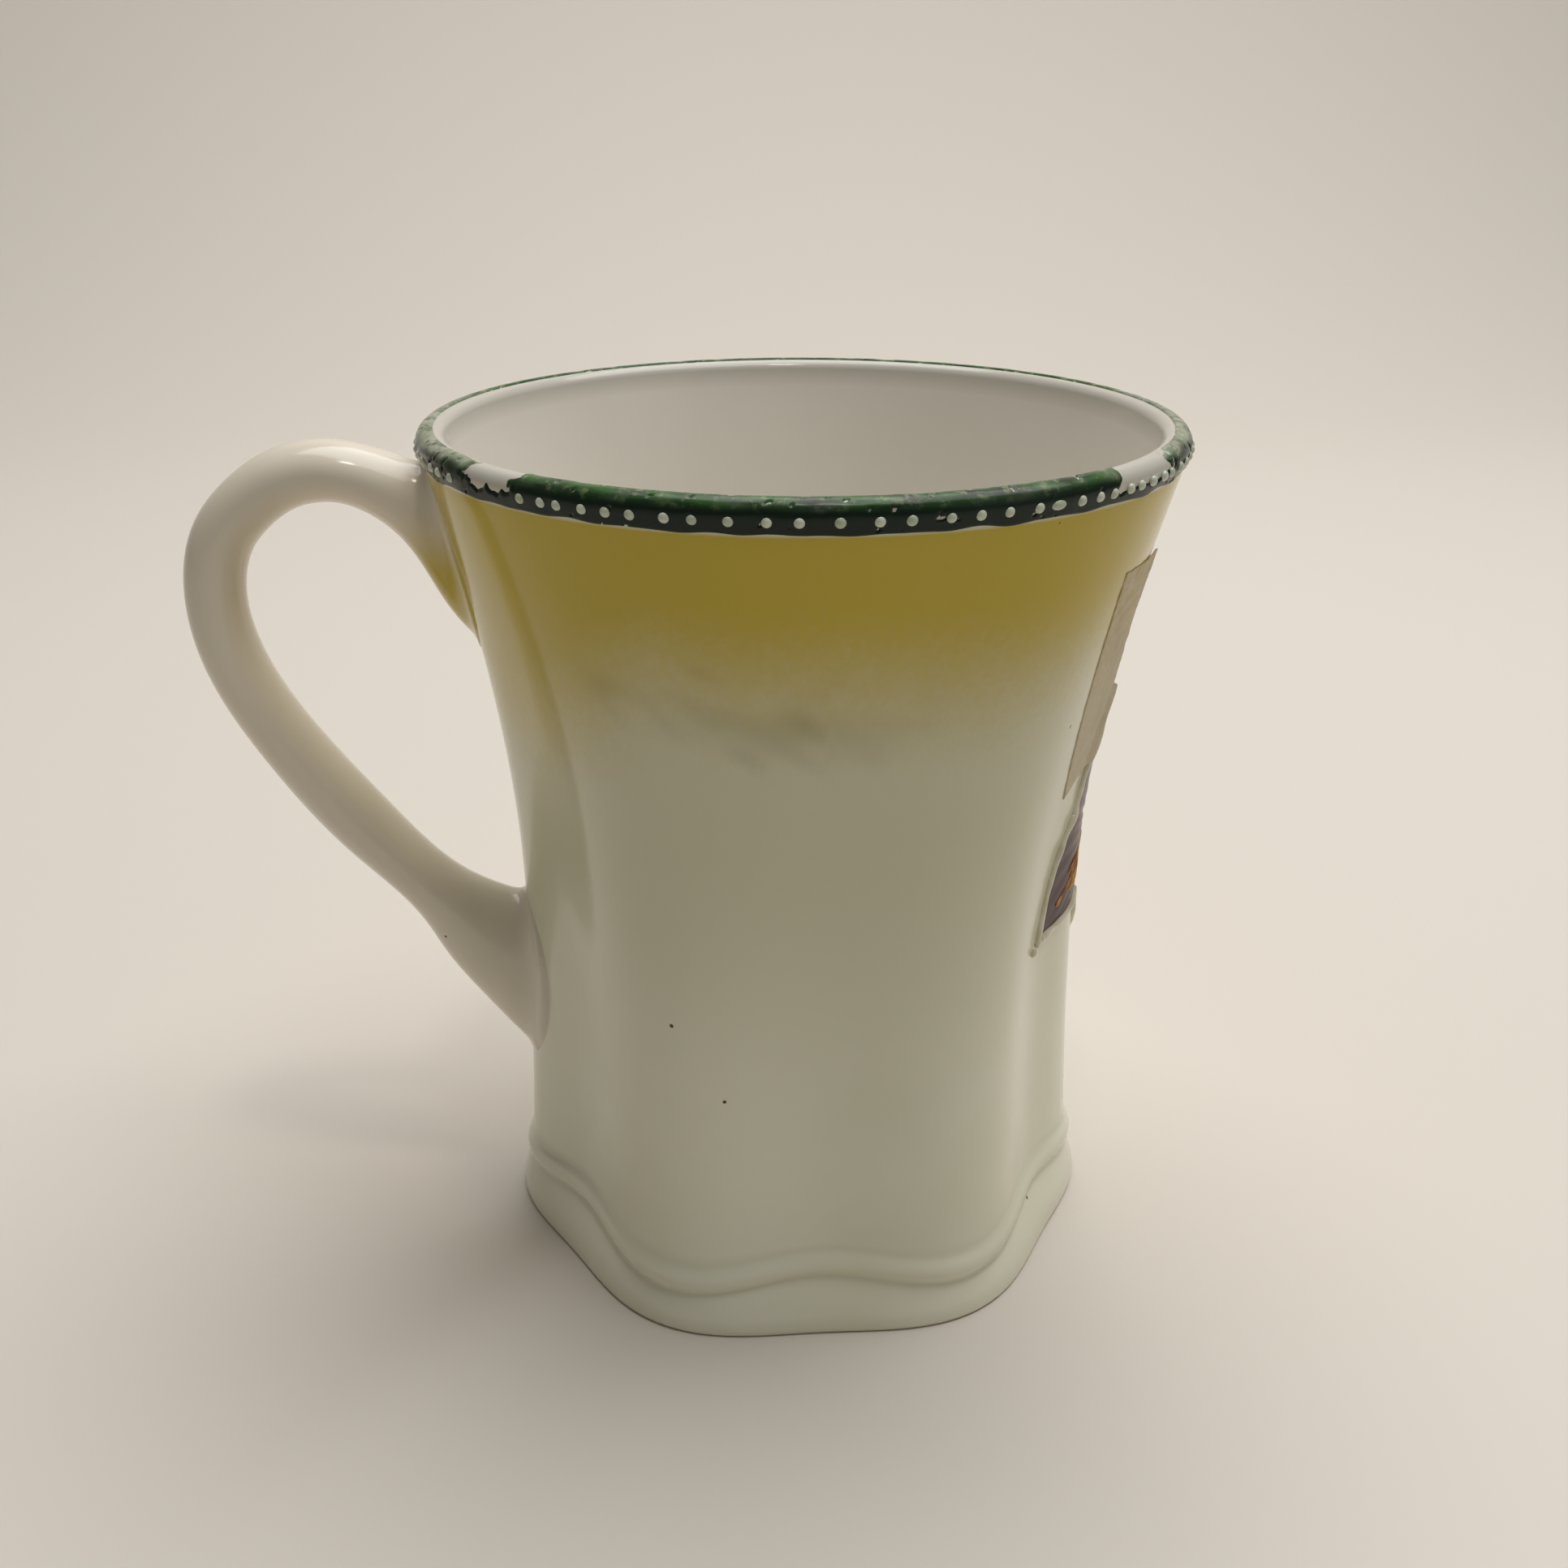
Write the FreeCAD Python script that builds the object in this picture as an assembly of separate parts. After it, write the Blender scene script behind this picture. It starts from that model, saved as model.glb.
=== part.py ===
import FreeCAD, Part
import math
import os

# Porcelain shaving mug with a six-lobed, waisted body, a scalloped foot moulding, a loop
# handle, a green enamel rim with raised dots, an enamelled flower and a strip of torn tape.
# Millimetres. The origin is the centre of the foot on the table, +Z up, handle towards -X,
# flower towards +X. Angles round the body are measured from -Y towards +X.

os.makedirs("parts", exist_ok=True)

# body, outside
mug_height = 92.2
rim_radius = 39.7
waist_radius = 31.5
waist_height = 38.0
shoulder_radius = 32.3          # on a lobe, just above the foot moulding
flare_bulge = 0.34              # fullness of the flare between waist and rim
lobe_count = 6
lobe_offset = 30.0              # angle of the first lobe crest
lobe_depth = 3.4                # crest to valley, just above the moulding
plain_rim_height = 4.0          # round collar left plain under the lip

# foot moulding: a flared foot, a groove and a scalloped ribbon
moulding_height = 8.4
foot_radius = 33.75
foot_lobe_depth = 2.3
foot_crown_height = 0.8         # height of the widest part of the foot
foot_edge_round = 0.3
groove_height = 5.25
groove_radius = 32.65
ribbon_crown_height = 6.85
ribbon_radius = 33.1
ribbon_round = 0.12             # how far the ribbon falls back halfway down to the groove
groove_round = 0.15             # how far the foot stands out from the groove just under it
groove_fade = 0.3               # how much shallower the lobes are in the groove than above it
scallop = 0.9                   # rise and fall of the ribbon about its mean height
moulding_run_out = 1.4          # from the moulding up to the first ring of the plain wall

# body, inside and underneath
wall = 3.5                      # thickness at the floor
lip_width = 2.9                 # thickness at the lip; the wall thins evenly up to it
lobe_softening = 0.6            # depth of the lobes inside, as a share of those outside
floor_height = 6.0
floor_corner_round = 8.0
foot_ring_width = 4.0
foot_recess = 1.8
lip_outer_round = 1.3
lip_inner_round = 1.3

# handle, along its middle line in the plane y = 0
handle_reach = 22.2             # from the rim out to the middle of the loop's far side
handle_drop = 5.0               # from the top of the lip to the middle line's highest point
handle_thickness = 6.4
handle_width = 8.6
root_height = 19.5              # height of the flared upper root on the wall
root_drop = 4.0                 # from the top of the lip to the root's upper end
root_spread = 1.6               # how much wider the root is on each side where it meets the wall
tail_height = 18.0              # height of the lower root on the wall
tail_top = 40.0
tail_spread = 1.4
root_bury = 3.0                 # how far the roots run on inside the wall before they are trimmed
oval_points = 16

# the loop's ovals between its roots: share of the way from the wall out to the loop's far side,
# how far down from its top (in the crook as a share of the upper root's height, in the leg as a
# share of the way to the middle of the lower root), what is added to half the thickness and to
# half the width, and the turn of the oval's plane in degrees
crook_ovals = [
    (0.134, 0.236, 2.2, 0.3, 178),
    (0.220, 0.133, 0.7, 0.0, 172),
    (0.351, 0.040, 0.0, 0.0, 162),
    (0.524, 0.000, 0.0, 0.0, 181),
    (0.674, 0.040, 0.0, 0.0, 202),
    (0.823, 0.164, 0.0, 0.0, 222),
    (0.937, 0.337, 0.0, 0.0, 243),
    (1.000, 0.637, -0.1, 0.0, 270),
]
leg_ovals = [
    (0.967, 0.352, -0.1, 0.0, 288),
    (0.806, 0.527, 0.0, 0.0, 301),
    (0.545, 0.719, 0.1, 0.0, 311),
    (0.293, 0.870, 0.5, 0.0, 314),
    (0.191, 0.929, 2.0, 0.3, 322),
]

# enamel and tape
enamel = 0.2
band_height = 2.95              # from the top of the lip to the band's lower edge
band_flat = 0.35                # how far the band runs on to the lip's flat top
dot_count = 92
dot_drop = 1.75                 # from the top of the lip to the middle of a dot
dot_radius = 0.53
dot_rise = 0.34
dot_drift = 2.6                 # slow drift of the spacing round the rim, degrees
dot_wander = 0.35               # quick wander of single dots, degrees
petal_enamel = 0.25
outline_enamel = 0.55
outline_width = 0.8
tape_thickness = 0.15

# flower, drawn flat about its centre and carried on to the wall
flower_angle = 93.0
flower_height = 46.5
petal_turns = [61.6, 158.0, 224.0, 290.0, 356.0]    # from straight down towards -Y, degrees
petal_reach = 18.0              # from the flower's centre to a petal's point
notch_reach = 9.0               # from the centre to the notch between two petals a fifth apart
notch_rise = 2.6                # how much further out the notch is in the one wide gap
petal_fullness = 0.10           # how far a petal's side bows out, as a share of its reach
heart_radius = 2.6
tip_bead_radius = 0.8           # enamel bead at the point of each petal
leaf_length = 11.0
leaf_width = 5.0
leaf_start = 10.5               # from the flower's centre to the stalk end of a leaf

# torn tape strip, above the flower and to its left
tape_angle = 67.6
tape_height = 69.0
tape_width = 13.5
tape_length = 26.5
tape_lean = 10.5                # turn of the strip's top towards -Y, degrees
tape_slant = 1.0                # rise of the lower edge across the strip
tape_fall = 3.4                 # fall of the upper edge across the strip
tear_depth = 1.1
tear_count = 9

points_per_lobe = 8


def lobe_wave(angle):
    """1 on a lobe crest, -1 in a valley."""
    return math.cos(math.radians(lobe_count * (angle - lobe_offset)))


def crest_radius(height):
    """Outer radius on a lobe crest, above the moulding."""
    if height < waist_height:
        share = (waist_height - height) / (waist_height - moulding_height)
        return waist_radius + (shoulder_radius - waist_radius) * share ** 2
    share = (height - waist_height) / (mug_height - waist_height)
    return waist_radius + (rim_radius - waist_radius) * share ** 2 * (1 + flare_bulge * (1 - share))


def depth_at(height):
    """Crest to valley depth of the lobes, fading out below the plain rim."""
    share = (height - moulding_height) / (mug_height - plain_rim_height - moulding_height)
    return lobe_depth * math.cos(math.radians(90 * min(max(share, 0.0), 1.0)))


def ring_radius(angle, crest, depth):
    return crest - depth / 2 * (1 - lobe_wave(angle))


def lobed_ring(height, crest, depth, wave=0.0):
    """Closed smooth wire round the axis; wave lifts it in the valleys and drops it on the crests."""
    count = lobe_count * points_per_lobe
    points = []
    for index in range(count):
        angle = 360.0 * index / count
        radius = ring_radius(angle, crest, depth)
        turn = math.radians(angle)
        rise = height - wave * lobe_wave(angle)
        points.append(FreeCAD.Vector(radius * math.sin(turn), -radius * math.cos(turn), rise))
    curve = Part.BSplineCurve()
    curve.interpolate(Points=points, PeriodicFlag=True, Parameters=[i / count for i in range(count + 1)])
    return Part.Wire([curve.toShape()])


def wall_heights():
    """Heights of the rings above the moulding, closer together where the wall bends most."""
    start = moulding_height + moulding_run_out
    collar = mug_height - plain_rim_height
    shares = [0.0, 0.035, 0.09, 0.2, 0.34, 0.48, 0.62, 0.76, 0.88, 1.0]
    return [start + (collar - start) * share for share in shares] + [mug_height]


def outer_solid(skin=0.0, low=0.0):
    """The body's outside as a full solid; skin thickens it, low leaves out the rings under it."""
    edge_depth = foot_lobe_depth
    groove_depth = lobe_depth - groove_fade
    rings = [
        (0.0, foot_radius - foot_edge_round, edge_depth, 0.0),
        (0.3 * foot_crown_height, foot_radius - 0.3 * foot_edge_round, edge_depth, 0.0),
        (foot_crown_height, foot_radius, edge_depth, 0.1 * scallop),
        (0.55 * groove_height, 0.35 * groove_radius + 0.65 * foot_radius, edge_depth + 0.25, 0.5 * scallop),
        (0.85 * groove_height, groove_radius + groove_round, groove_depth - groove_round, 0.9 * scallop),
        (groove_height, groove_radius, groove_depth, scallop),
        ((groove_height + ribbon_crown_height) / 2, ribbon_radius - ribbon_round,
         groove_depth + groove_fade / 3, scallop),
        (ribbon_crown_height, ribbon_radius, groove_depth + groove_fade * 2 / 3, scallop),
        ((ribbon_crown_height + moulding_height) / 2, ribbon_radius - 1.7 * ribbon_round,
         lobe_depth, scallop),
        (moulding_height, shoulder_radius + ribbon_round, lobe_depth, 0.9 * scallop),
        (moulding_height + 0.5, shoulder_radius, lobe_depth, 0.75 * scallop),
    ]
    for height in wall_heights():
        fade = max(0.0, 1 - (height - moulding_height) / moulding_height)
        rings.append((height, crest_radius(height), depth_at(height), 0.5 * scallop * fade ** 2))
    kept = [ring for ring in rings if ring[0] >= low]
    first = kept[0]
    kept[0] = (first[0], first[1], first[2], 0.0)
    last = kept[-1]
    kept[-1] = (last[0], last[1], last[2], 0.0)
    wires = [lobed_ring(height, crest + skin, depth, wave) for height, crest, depth, wave in kept]
    return Part.makeLoft(wires, True, False)


def wall_thickness(height):
    share = (height - floor_height) / (mug_height - floor_height)
    return wall + (lip_width - wall) * share


def cavity():
    """The inside, following the lobes more softly, with a rounded corner round its floor."""
    def inner_ring(height, inset=0.0):
        at = max(height, moulding_height)
        depth = lobe_softening * depth_at(at)
        crest = crest_radius(at) - wall_thickness(at) - (1 - lobe_softening) / 2 * depth_at(at) - inset
        return lobed_ring(height, crest, depth)

    wires = []
    for turn in (0, 22, 45, 68, 90):
        sine = math.sin(math.radians(turn))
        cosine = math.cos(math.radians(turn))
        wires.append(inner_ring(floor_height + floor_corner_round * (1 - cosine),
                                floor_corner_round * (1 - sine)))
    start = floor_height + floor_corner_round
    for share in (0.18, 0.36, 0.54, 0.72, 0.88, 1.0):
        wires.append(inner_ring(start + (mug_height - start) * share))
    return Part.makeLoft(wires, True, False)


def foot_hollow():
    low = lobed_ring(-1.0, foot_radius - foot_ring_width + 0.6, foot_lobe_depth)
    high = lobed_ring(foot_recess, foot_radius - foot_ring_width - 0.6, foot_lobe_depth)
    return Part.makeLoft([low, high], True, True)


def top_edges(body, low, high):
    """Edges of the flat top face that reach out to between low and high from the axis."""
    found = []
    for edge in body.Edges:
        box = edge.BoundBox
        level = abs(box.ZMin - mug_height) < 0.01 and abs(box.ZMax - mug_height) < 0.01
        if level and low < box.XMax < high:
            found.append(edge)
    return found


def round_lip(body):
    """Rounds the two edges of the flat top face."""
    middle = rim_radius - lip_width / 2
    body = body.makeFillet(lip_outer_round, top_edges(body, middle, rim_radius + 1))
    return body.makeFillet(lip_inner_round, top_edges(body, 0, middle))


def section(x, z, half_thickness, half_width, tilt):
    """Oval of the handle: its thickness lies in the plane y = 0, turned by tilt from upright."""
    normal = FreeCAD.Vector(math.cos(math.radians(tilt)), 0, math.sin(math.radians(tilt)))
    upright = FreeCAD.Vector(-normal.z, 0, normal.x)
    across = FreeCAD.Vector(0, 1, 0)
    centre = FreeCAD.Vector(x, 0, z)
    points = []
    for index in range(oval_points):
        turn = 2 * math.pi * index / oval_points
        up = upright * (half_thickness * math.cos(turn))
        points.append(centre + up + across * (half_width * math.sin(turn)))
    spacing = [index / oval_points for index in range(oval_points + 1)]
    curve = Part.BSplineCurve()
    curve.interpolate(Points=points, PeriodicFlag=True, Parameters=spacing)
    return Part.Wire([curve.toShape()])


def handle_solid(full_body):
    """Loft of ovals round the ear-shaped loop, trimmed where it meets the wall."""
    thick = handle_thickness / 2
    wide = handle_width / 2
    top = mug_height - handle_drop
    reach = rim_radius + handle_reach
    root_middle = mug_height - root_drop - root_height / 2
    root_wall = crest_radius(root_middle)
    tail_middle = tail_top - tail_height / 2
    tail_wall = crest_radius(tail_middle)

    def oval(wall_at, span, out, down, thicker, wider, tilt):
        return section(-(wall_at + (reach - wall_at) * out), top - span * down,
                       thick + thicker, wide + wider, tilt)

    rings = [
        section(-(root_wall - root_bury), root_middle, root_height / 2 + 1.0, wide + root_spread, 180),
        section(-(root_wall + 1.2), root_middle + 2.0, root_height / 2 - 2.0, wide + 0.6 * root_spread, 180),
    ]
    rings += [oval(root_wall, root_height, *values) for values in crook_ovals]
    rings += [oval(tail_wall, top - tail_middle, *values) for values in leg_ovals]
    rings += [
        section(-(tail_wall + 2.6), tail_middle + 1.0, tail_height / 2 - 1.9, wide + 0.6 * tail_spread, 340),
        section(-(tail_wall - root_bury), tail_middle - 2.0, tail_height / 2 + 4.4, wide + tail_spread, 360),
    ]
    loop = Part.makeLoft(rings, True, False)
    return loop.cut(full_body)


def lip_ring():
    """Solid ring whose skin is the enamel's: up the outside of the lip and on to its top."""
    low = mug_height - band_height
    slope = (rim_radius - waist_radius) / (mug_height - waist_height) * (2 - flare_bulge)
    tilt = math.atan(slope)
    radius = lip_outer_round + enamel
    middle = FreeCAD.Vector(rim_radius - slope * lip_outer_round - lip_outer_round / math.cos(tilt), 0,
                            mug_height - lip_outer_round)

    def on_round(turn):
        return middle + FreeCAD.Vector(radius * math.cos(turn), 0, radius * math.sin(turn))

    foot = FreeCAD.Vector(crest_radius(low) + enamel / math.cos(tilt), 0, low)
    side = on_round(-tilt)
    top = on_round(math.pi / 2)
    end = FreeCAD.Vector(top.x - band_flat, 0, mug_height)
    core = FreeCAD.Vector(end.x, 0, mug_height - lip_outer_round)
    root = FreeCAD.Vector(end.x - band_flat, 0, low)
    edges = [
        Part.LineSegment(foot, side).toShape(),
        Part.Arc(side, on_round(math.pi / 4), top).toShape(),
        Part.LineSegment(top, end).toShape(),
        Part.LineSegment(end, core).toShape(),
        Part.LineSegment(core, root).toShape(),
        Part.LineSegment(root, foot).toShape(),
    ]
    outline = Part.Face(Part.Wire(edges))
    return outline.revolve(FreeCAD.Vector(0, 0, 0), FreeCAD.Vector(0, 0, 1), 360)


def dots(under):
    """Raised enamel beads round the band, none spaced quite evenly, less what they stand on."""
    ball = (dot_radius ** 2 + dot_rise ** 2) / (2 * dot_rise)
    height = mug_height - dot_drop
    seat = crest_radius(height) + enamel + dot_rise - ball
    bead = Part.makeSphere(ball, FreeCAD.Vector(0, -seat, height)).cut(under).Solids[0]
    beads = []
    for index in range(dot_count):
        even = 360.0 * index / dot_count
        drift = dot_drift * math.sin(4 * math.radians(even))
        place = bead.copy()
        place.rotate(FreeCAD.Vector(0, 0, 0), FreeCAD.Vector(0, 0, 1),
                     even + drift + dot_wander * math.sin(2.4 * index))
        beads.append(place)
    return Part.makeCompound(beads)


def drawn(turn, reach):
    """Point of the flat drawing in the y, z plane, at a turn from straight down towards -Y."""
    return FreeCAD.Vector(0, -reach * math.sin(math.radians(turn)), -reach * math.cos(math.radians(turn)))


def round_face(radius, centre):
    return Part.Face(Part.Wire(Part.makeCircle(radius, centre, FreeCAD.Vector(1, 0, 0))))


def gap_middles():
    """Turns halfway between each petal and the next, and the width of each gap, in degrees."""
    following = petal_turns[1:] + [petal_turns[0] + 360.0]
    return [((turn + after) / 2, after - turn) for turn, after in zip(petal_turns, following)]


def flower_face(grow=0.0):
    """The flower's outline: a bowed arc from each petal's point to the notches beside it."""
    corners = []
    for turn, (middle, gap) in zip(petal_turns, gap_middles()):
        corners.append(drawn(turn, petal_reach + 1.5 * grow))
        wide = gap > 360.0 / len(petal_turns)
        corners.append(drawn(middle, notch_reach + grow + (notch_rise if wide else 0)))
    arcs = []
    for corner, following in zip(corners, corners[1:] + corners[:1]):
        middle = (corner + following) * (0.5 + 0.5 * petal_fullness)
        arcs.append(Part.Arc(corner, middle, following).toShape())
    return Part.Face(Part.Wire(arcs))


def leaf_face(turn):
    """Pointed oval, widest just past its middle."""
    stalk = drawn(turn, leaf_start)
    belly = drawn(turn, leaf_start + 0.55 * leaf_length)
    tip = drawn(turn, leaf_start + leaf_length)
    side = drawn(turn + 90, leaf_width / 2)
    edges = [Part.Arc(stalk, belly + side, tip).toShape(), Part.Arc(tip, belly - side, stalk).toShape()]
    return Part.Face(Part.Wire(edges))


def prism(face, angle, height):
    """Carries an outline drawn about the origin in the y, z plane out through the wall."""
    solid = face.extrude(FreeCAD.Vector(rim_radius + 5, 0, 0))
    solid.rotate(FreeCAD.Vector(0, 0, 0), FreeCAD.Vector(0, 0, 1), angle - 90)
    solid.translate(FreeCAD.Vector(0, 0, height))
    return solid


def fused_prisms(faces):
    solids = [prism(face, flower_angle, flower_height) for face in faces]
    return solids[0].fuse(solids[1:]) if len(solids) > 1 else solids[0]


def wall_skin(thickness, full_body):
    """A skin of the given thickness on the whole wall above the moulding."""
    return outer_solid(thickness, low=moulding_height + 1.0).cut(full_body)


def only_solids(shape):
    """The solids of a shape, as one shape."""
    solids = shape.Solids
    return solids[0] if len(solids) == 1 else Part.makeCompound(solids)


def flower(full_body):
    """Heart, petals, raised outline and leaves, side by side on the wall."""
    leaf_turns = [middle for middle, gap in gap_middles()[1:3]]
    heart = fused_prisms([round_face(heart_radius, FreeCAD.Vector(0, 0, 0))])
    petals = fused_prisms([flower_face()])
    bead_reach = petal_reach + outline_width + tip_bead_radius
    beads = [round_face(tip_bead_radius, drawn(turn, bead_reach)) for turn in petal_turns]
    wide = fused_prisms([flower_face(outline_width)] + beads)
    leaves = fused_prisms([leaf_face(turn) for turn in leaf_turns])
    thin_skin = wall_skin(petal_enamel, full_body)
    thick_skin = wall_skin(outline_enamel, full_body)
    return (
        only_solids(heart.common(thick_skin)),
        only_solids(petals.cut(heart).common(thin_skin)),
        only_solids(wide.cut(petals).cut(heart).common(thick_skin)),
        only_solids(leaves.cut(wide).common(thin_skin)),
    )


def tape(full_body, decorations):
    """Strip with three cut edges and a torn one, leaning, less what it is stuck beside.

    What a petal's point parts from the strip's lower corner is a scrap, and is left out.
    """
    half_width = tape_width / 2
    half_length = tape_length / 2
    corner_low = FreeCAD.Vector(0, -half_width, -half_length)
    corner_high = FreeCAD.Vector(0, -half_width, half_length)
    points = [corner_low, corner_high]
    for index in range(tear_count + 1):
        share = index / tear_count
        bite = tear_depth * (0.5 + 0.5 * math.sin(5.1 * index + 0.6))
        rise = half_length - tape_fall - (tape_length - tape_fall - tape_slant) * share
        points.append(FreeCAD.Vector(0, half_width - bite, rise))
    points.append(corner_low)
    face = Part.Face(Part.makePolygon(points))
    face.rotate(FreeCAD.Vector(0, 0, 0), FreeCAD.Vector(1, 0, 0), tape_lean)
    strip = prism(face, tape_angle, tape_height)
    pieces = strip.common(wall_skin(tape_thickness, full_body)).cut(decorations).Solids
    return max(pieces, key=lambda piece: piece.Volume)


full = outer_solid()
mug_body = round_lip(full.cut(cavity()).cut(foot_hollow()))
handle = handle_solid(full)
enamel_ring = lip_ring()
rim_band = enamel_ring.cut(mug_body).cut(handle)
rim_dots = dots(enamel_ring)
flower_heart, flower_petals, flower_outline, flower_leaves = flower(full)
tape_strip = tape(full, flower_outline)

nodes = {
    "mug_body": mug_body,
    "handle": handle,
    "rim_band": rim_band,
    "rim_dots": rim_dots,
    "flower_heart": flower_heart,
    "flower_petals": flower_petals,
    "flower_outline": flower_outline,
    "flower_leaves": flower_leaves,
    "tape_strip": tape_strip,
}
for name, shape in nodes.items():
    shape.exportStep("parts/" + name + ".step")
    print(name, "solids", len(shape.Solids), "volume", round(shape.Volume, 1), "valid", shape.isValid())
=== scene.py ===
import math
import bpy
import numpy as np
from mathutils import Matrix, Vector


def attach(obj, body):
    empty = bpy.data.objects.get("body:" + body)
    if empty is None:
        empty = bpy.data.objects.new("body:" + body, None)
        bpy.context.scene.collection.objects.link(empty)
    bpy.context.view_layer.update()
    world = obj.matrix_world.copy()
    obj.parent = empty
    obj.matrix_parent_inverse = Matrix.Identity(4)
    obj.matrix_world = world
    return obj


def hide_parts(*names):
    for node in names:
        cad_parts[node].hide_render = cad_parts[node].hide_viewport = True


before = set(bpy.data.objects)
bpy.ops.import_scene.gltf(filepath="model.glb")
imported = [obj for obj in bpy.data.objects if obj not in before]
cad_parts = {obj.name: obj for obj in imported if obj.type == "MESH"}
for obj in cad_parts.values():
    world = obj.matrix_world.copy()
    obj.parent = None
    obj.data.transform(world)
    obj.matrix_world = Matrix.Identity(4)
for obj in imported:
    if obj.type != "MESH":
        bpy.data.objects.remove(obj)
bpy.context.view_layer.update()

mm = 0.001

# Every piece is worked out in millimetres, in the frame's own axes, and turned to metres when its
# mesh is made. Angles round the mug are measured from -Y (the plain side) towards +X (the flower).


# small tools for nodes, colours and curves

def addNode(tree, kind, out, links, **settings):
    # adds a shader node with its settings; each input is given a value or a socket to link, and
    # the output asked for comes back (a colour Mix has its share at 0, its colours at 6, 7 and 2)
    node = tree.nodes.new("ShaderNode" + kind)
    for name, value in settings.items():
        setattr(node, name, value)
    for key, value in links.items():
        if isinstance(value, bpy.types.NodeSocket):
            tree.links.new(value, node.inputs[key])
        else:
            node.inputs[key].default_value = value
    return node.outputs[out]


def hexColour(text):
    # sRGB hex to linear: c/12.92 under 0.04045, else ((c + 0.055)/1.055)^2.4
    parts = [int(text[i:i + 2], 16) / 255 for i in (0, 2, 4)]
    return tuple(c / 12.92 if c < 0.04045 else ((c + 0.055) / 1.055) ** 2.4 for c in parts) + (1.0,)


def smoothStep(low, high, at):
    # 0 below low, 1 above high, 3t^2 - 2t^3 between
    t = np.clip((np.asarray(at, float) - low) / (high - low), 0, 1)
    return t * t * (3 - 2 * t)


def naturalSpline(knots, values, at):
    # cubic through every (knot, value) with matching first and second derivatives at the knots
    # and none at the ends: the second derivatives m solve a three-band set of linear equations
    x = np.asarray(knots, float)
    y = np.asarray(values, float)
    h = np.diff(x)
    n = len(x)
    band = np.eye(n)
    right = np.zeros(n)
    inner = np.arange(1, n - 1)
    band[inner, inner - 1] = h[:-1]
    band[inner, inner] = 2 * (h[:-1] + h[1:])
    band[inner, inner + 1] = h[1:]
    right[1:-1] = 6 * (np.diff(y[1:]) / h[1:] - np.diff(y[:-1]) / h[:-1])
    m = np.linalg.solve(band, right)
    k = np.clip(np.searchsorted(x, at, side="right") - 1, 0, n - 2)
    a = x[k + 1] - at
    b = at - x[k]
    return ((m[k] * a ** 3 + m[k + 1] * b ** 3) / (6 * h[k])
            + (y[k] / h[k] - m[k] * h[k] / 6) * a + (y[k + 1] / h[k] - m[k + 1] * h[k] / 6) * b)


def chordLength(table):
    # running distance through the rows' first two columns
    return np.concatenate([[0], np.cumsum(np.hypot(np.diff(table[:, 0]), np.diff(table[:, 1])))])


def ripple(count, finest, seed):
    # a smooth uneven field over two lengths: a sum of sine waves of seeded direction and phase,
    # whose wavelengths run from finest to four times that, scaled to about -1 to 1
    source = np.random.default_rng(seed)
    turn = source.uniform(0, 2 * np.pi, count)
    length = finest * source.uniform(1.0, 4.0, count)
    phase = source.uniform(0, 2 * np.pi, count)

    def field(u, v):
        total = 0
        for t, w, f in zip(turn, length, phase):
            total = total + np.sin(2 * np.pi / w * (np.cos(t) * u + np.sin(t) * v) + f)
        return total / math.sqrt(count)

    return field


def gridFaces(rows, cols, loopAcross, loopAlong, startPole, endPole, capped):
    # corner numbers of a grid's quads; a looped side joins its end to its start, every point of a
    # pole row is the row's first, and a capped strip's ends join its top half to its lower half
    number = np.arange(rows * cols).reshape(rows, cols)
    if startPole:
        number[0] = number[0, 0]
    if endPole:
        number[-1] = number[-1, 0]
    first, last, half = number[0], number[-1], cols // 2
    if loopAlong:
        number = np.vstack([number, number[:1]])
    if loopAcross:
        number = np.hstack([number, number[:, :1]])
    corners = [number[:-1, :-1], number[:-1, 1:], number[1:, 1:], number[1:, :-1]]
    quads = np.stack(corners, -1).reshape(-1, 4)
    if capped:
        back = slice(None, half - 1, -1)
        for end in (first[::-1], last):
            near, far = end[:half], end[back]
            quads = np.vstack([quads, np.stack([near[:-1], near[1:], far[1:], far[:-1]], -1)])
    return quads


def addSurface(name, grids, loopAcross=False, loopAlong=False, startPole=False, endPole=False,
               capped=False, marks=None):
    # one mesh from an array (how many, rows, across, xyz) of grids in millimetres, and its marks:
    # named numbers for each point, which the materials read as attributes
    grids = grids if grids.ndim == 4 else grids[None]
    many, rows, cols = grids.shape[:3]
    one = gridFaces(rows, cols, loopAcross, loopAlong, startPole, endPole, capped)
    quads = (one[None] + (np.arange(many) * rows * cols)[:, None, None]).reshape(-1, 4)
    used, packed = np.unique(quads, return_inverse=True)
    faces = [tuple(dict.fromkeys(corners)) for corners in packed.reshape(-1, 4).tolist()]
    mesh = bpy.data.meshes.new(name)
    mesh.from_pydata((grids.reshape(-1, 3)[used] * mm).tolist(), [], faces)
    mesh.polygons.foreach_set("use_smooth", np.ones(len(mesh.polygons), bool))
    for mark, values in (marks or {}).items():
        layer = mesh.attributes.new(mark, "FLOAT", "POINT")
        spread = np.broadcast_to(values, grids.shape[:3]).reshape(-1)[used]
        layer.data.foreach_set("value", spread.astype(np.float32))
    mesh.update()
    piece = bpy.data.objects.new(name, mesh)
    bpy.context.collection.objects.link(piece)
    return piece


def finishPiece(piece, material, node=None):
    # gives a piece its finish and its place in the frame; a node is the CAD piece it stands for
    piece.data.materials.append(material)
    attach(piece, "root")
    if node:
        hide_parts(node)
    print("made", piece.name, "with", len(piece.data.polygons), "faces")


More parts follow.
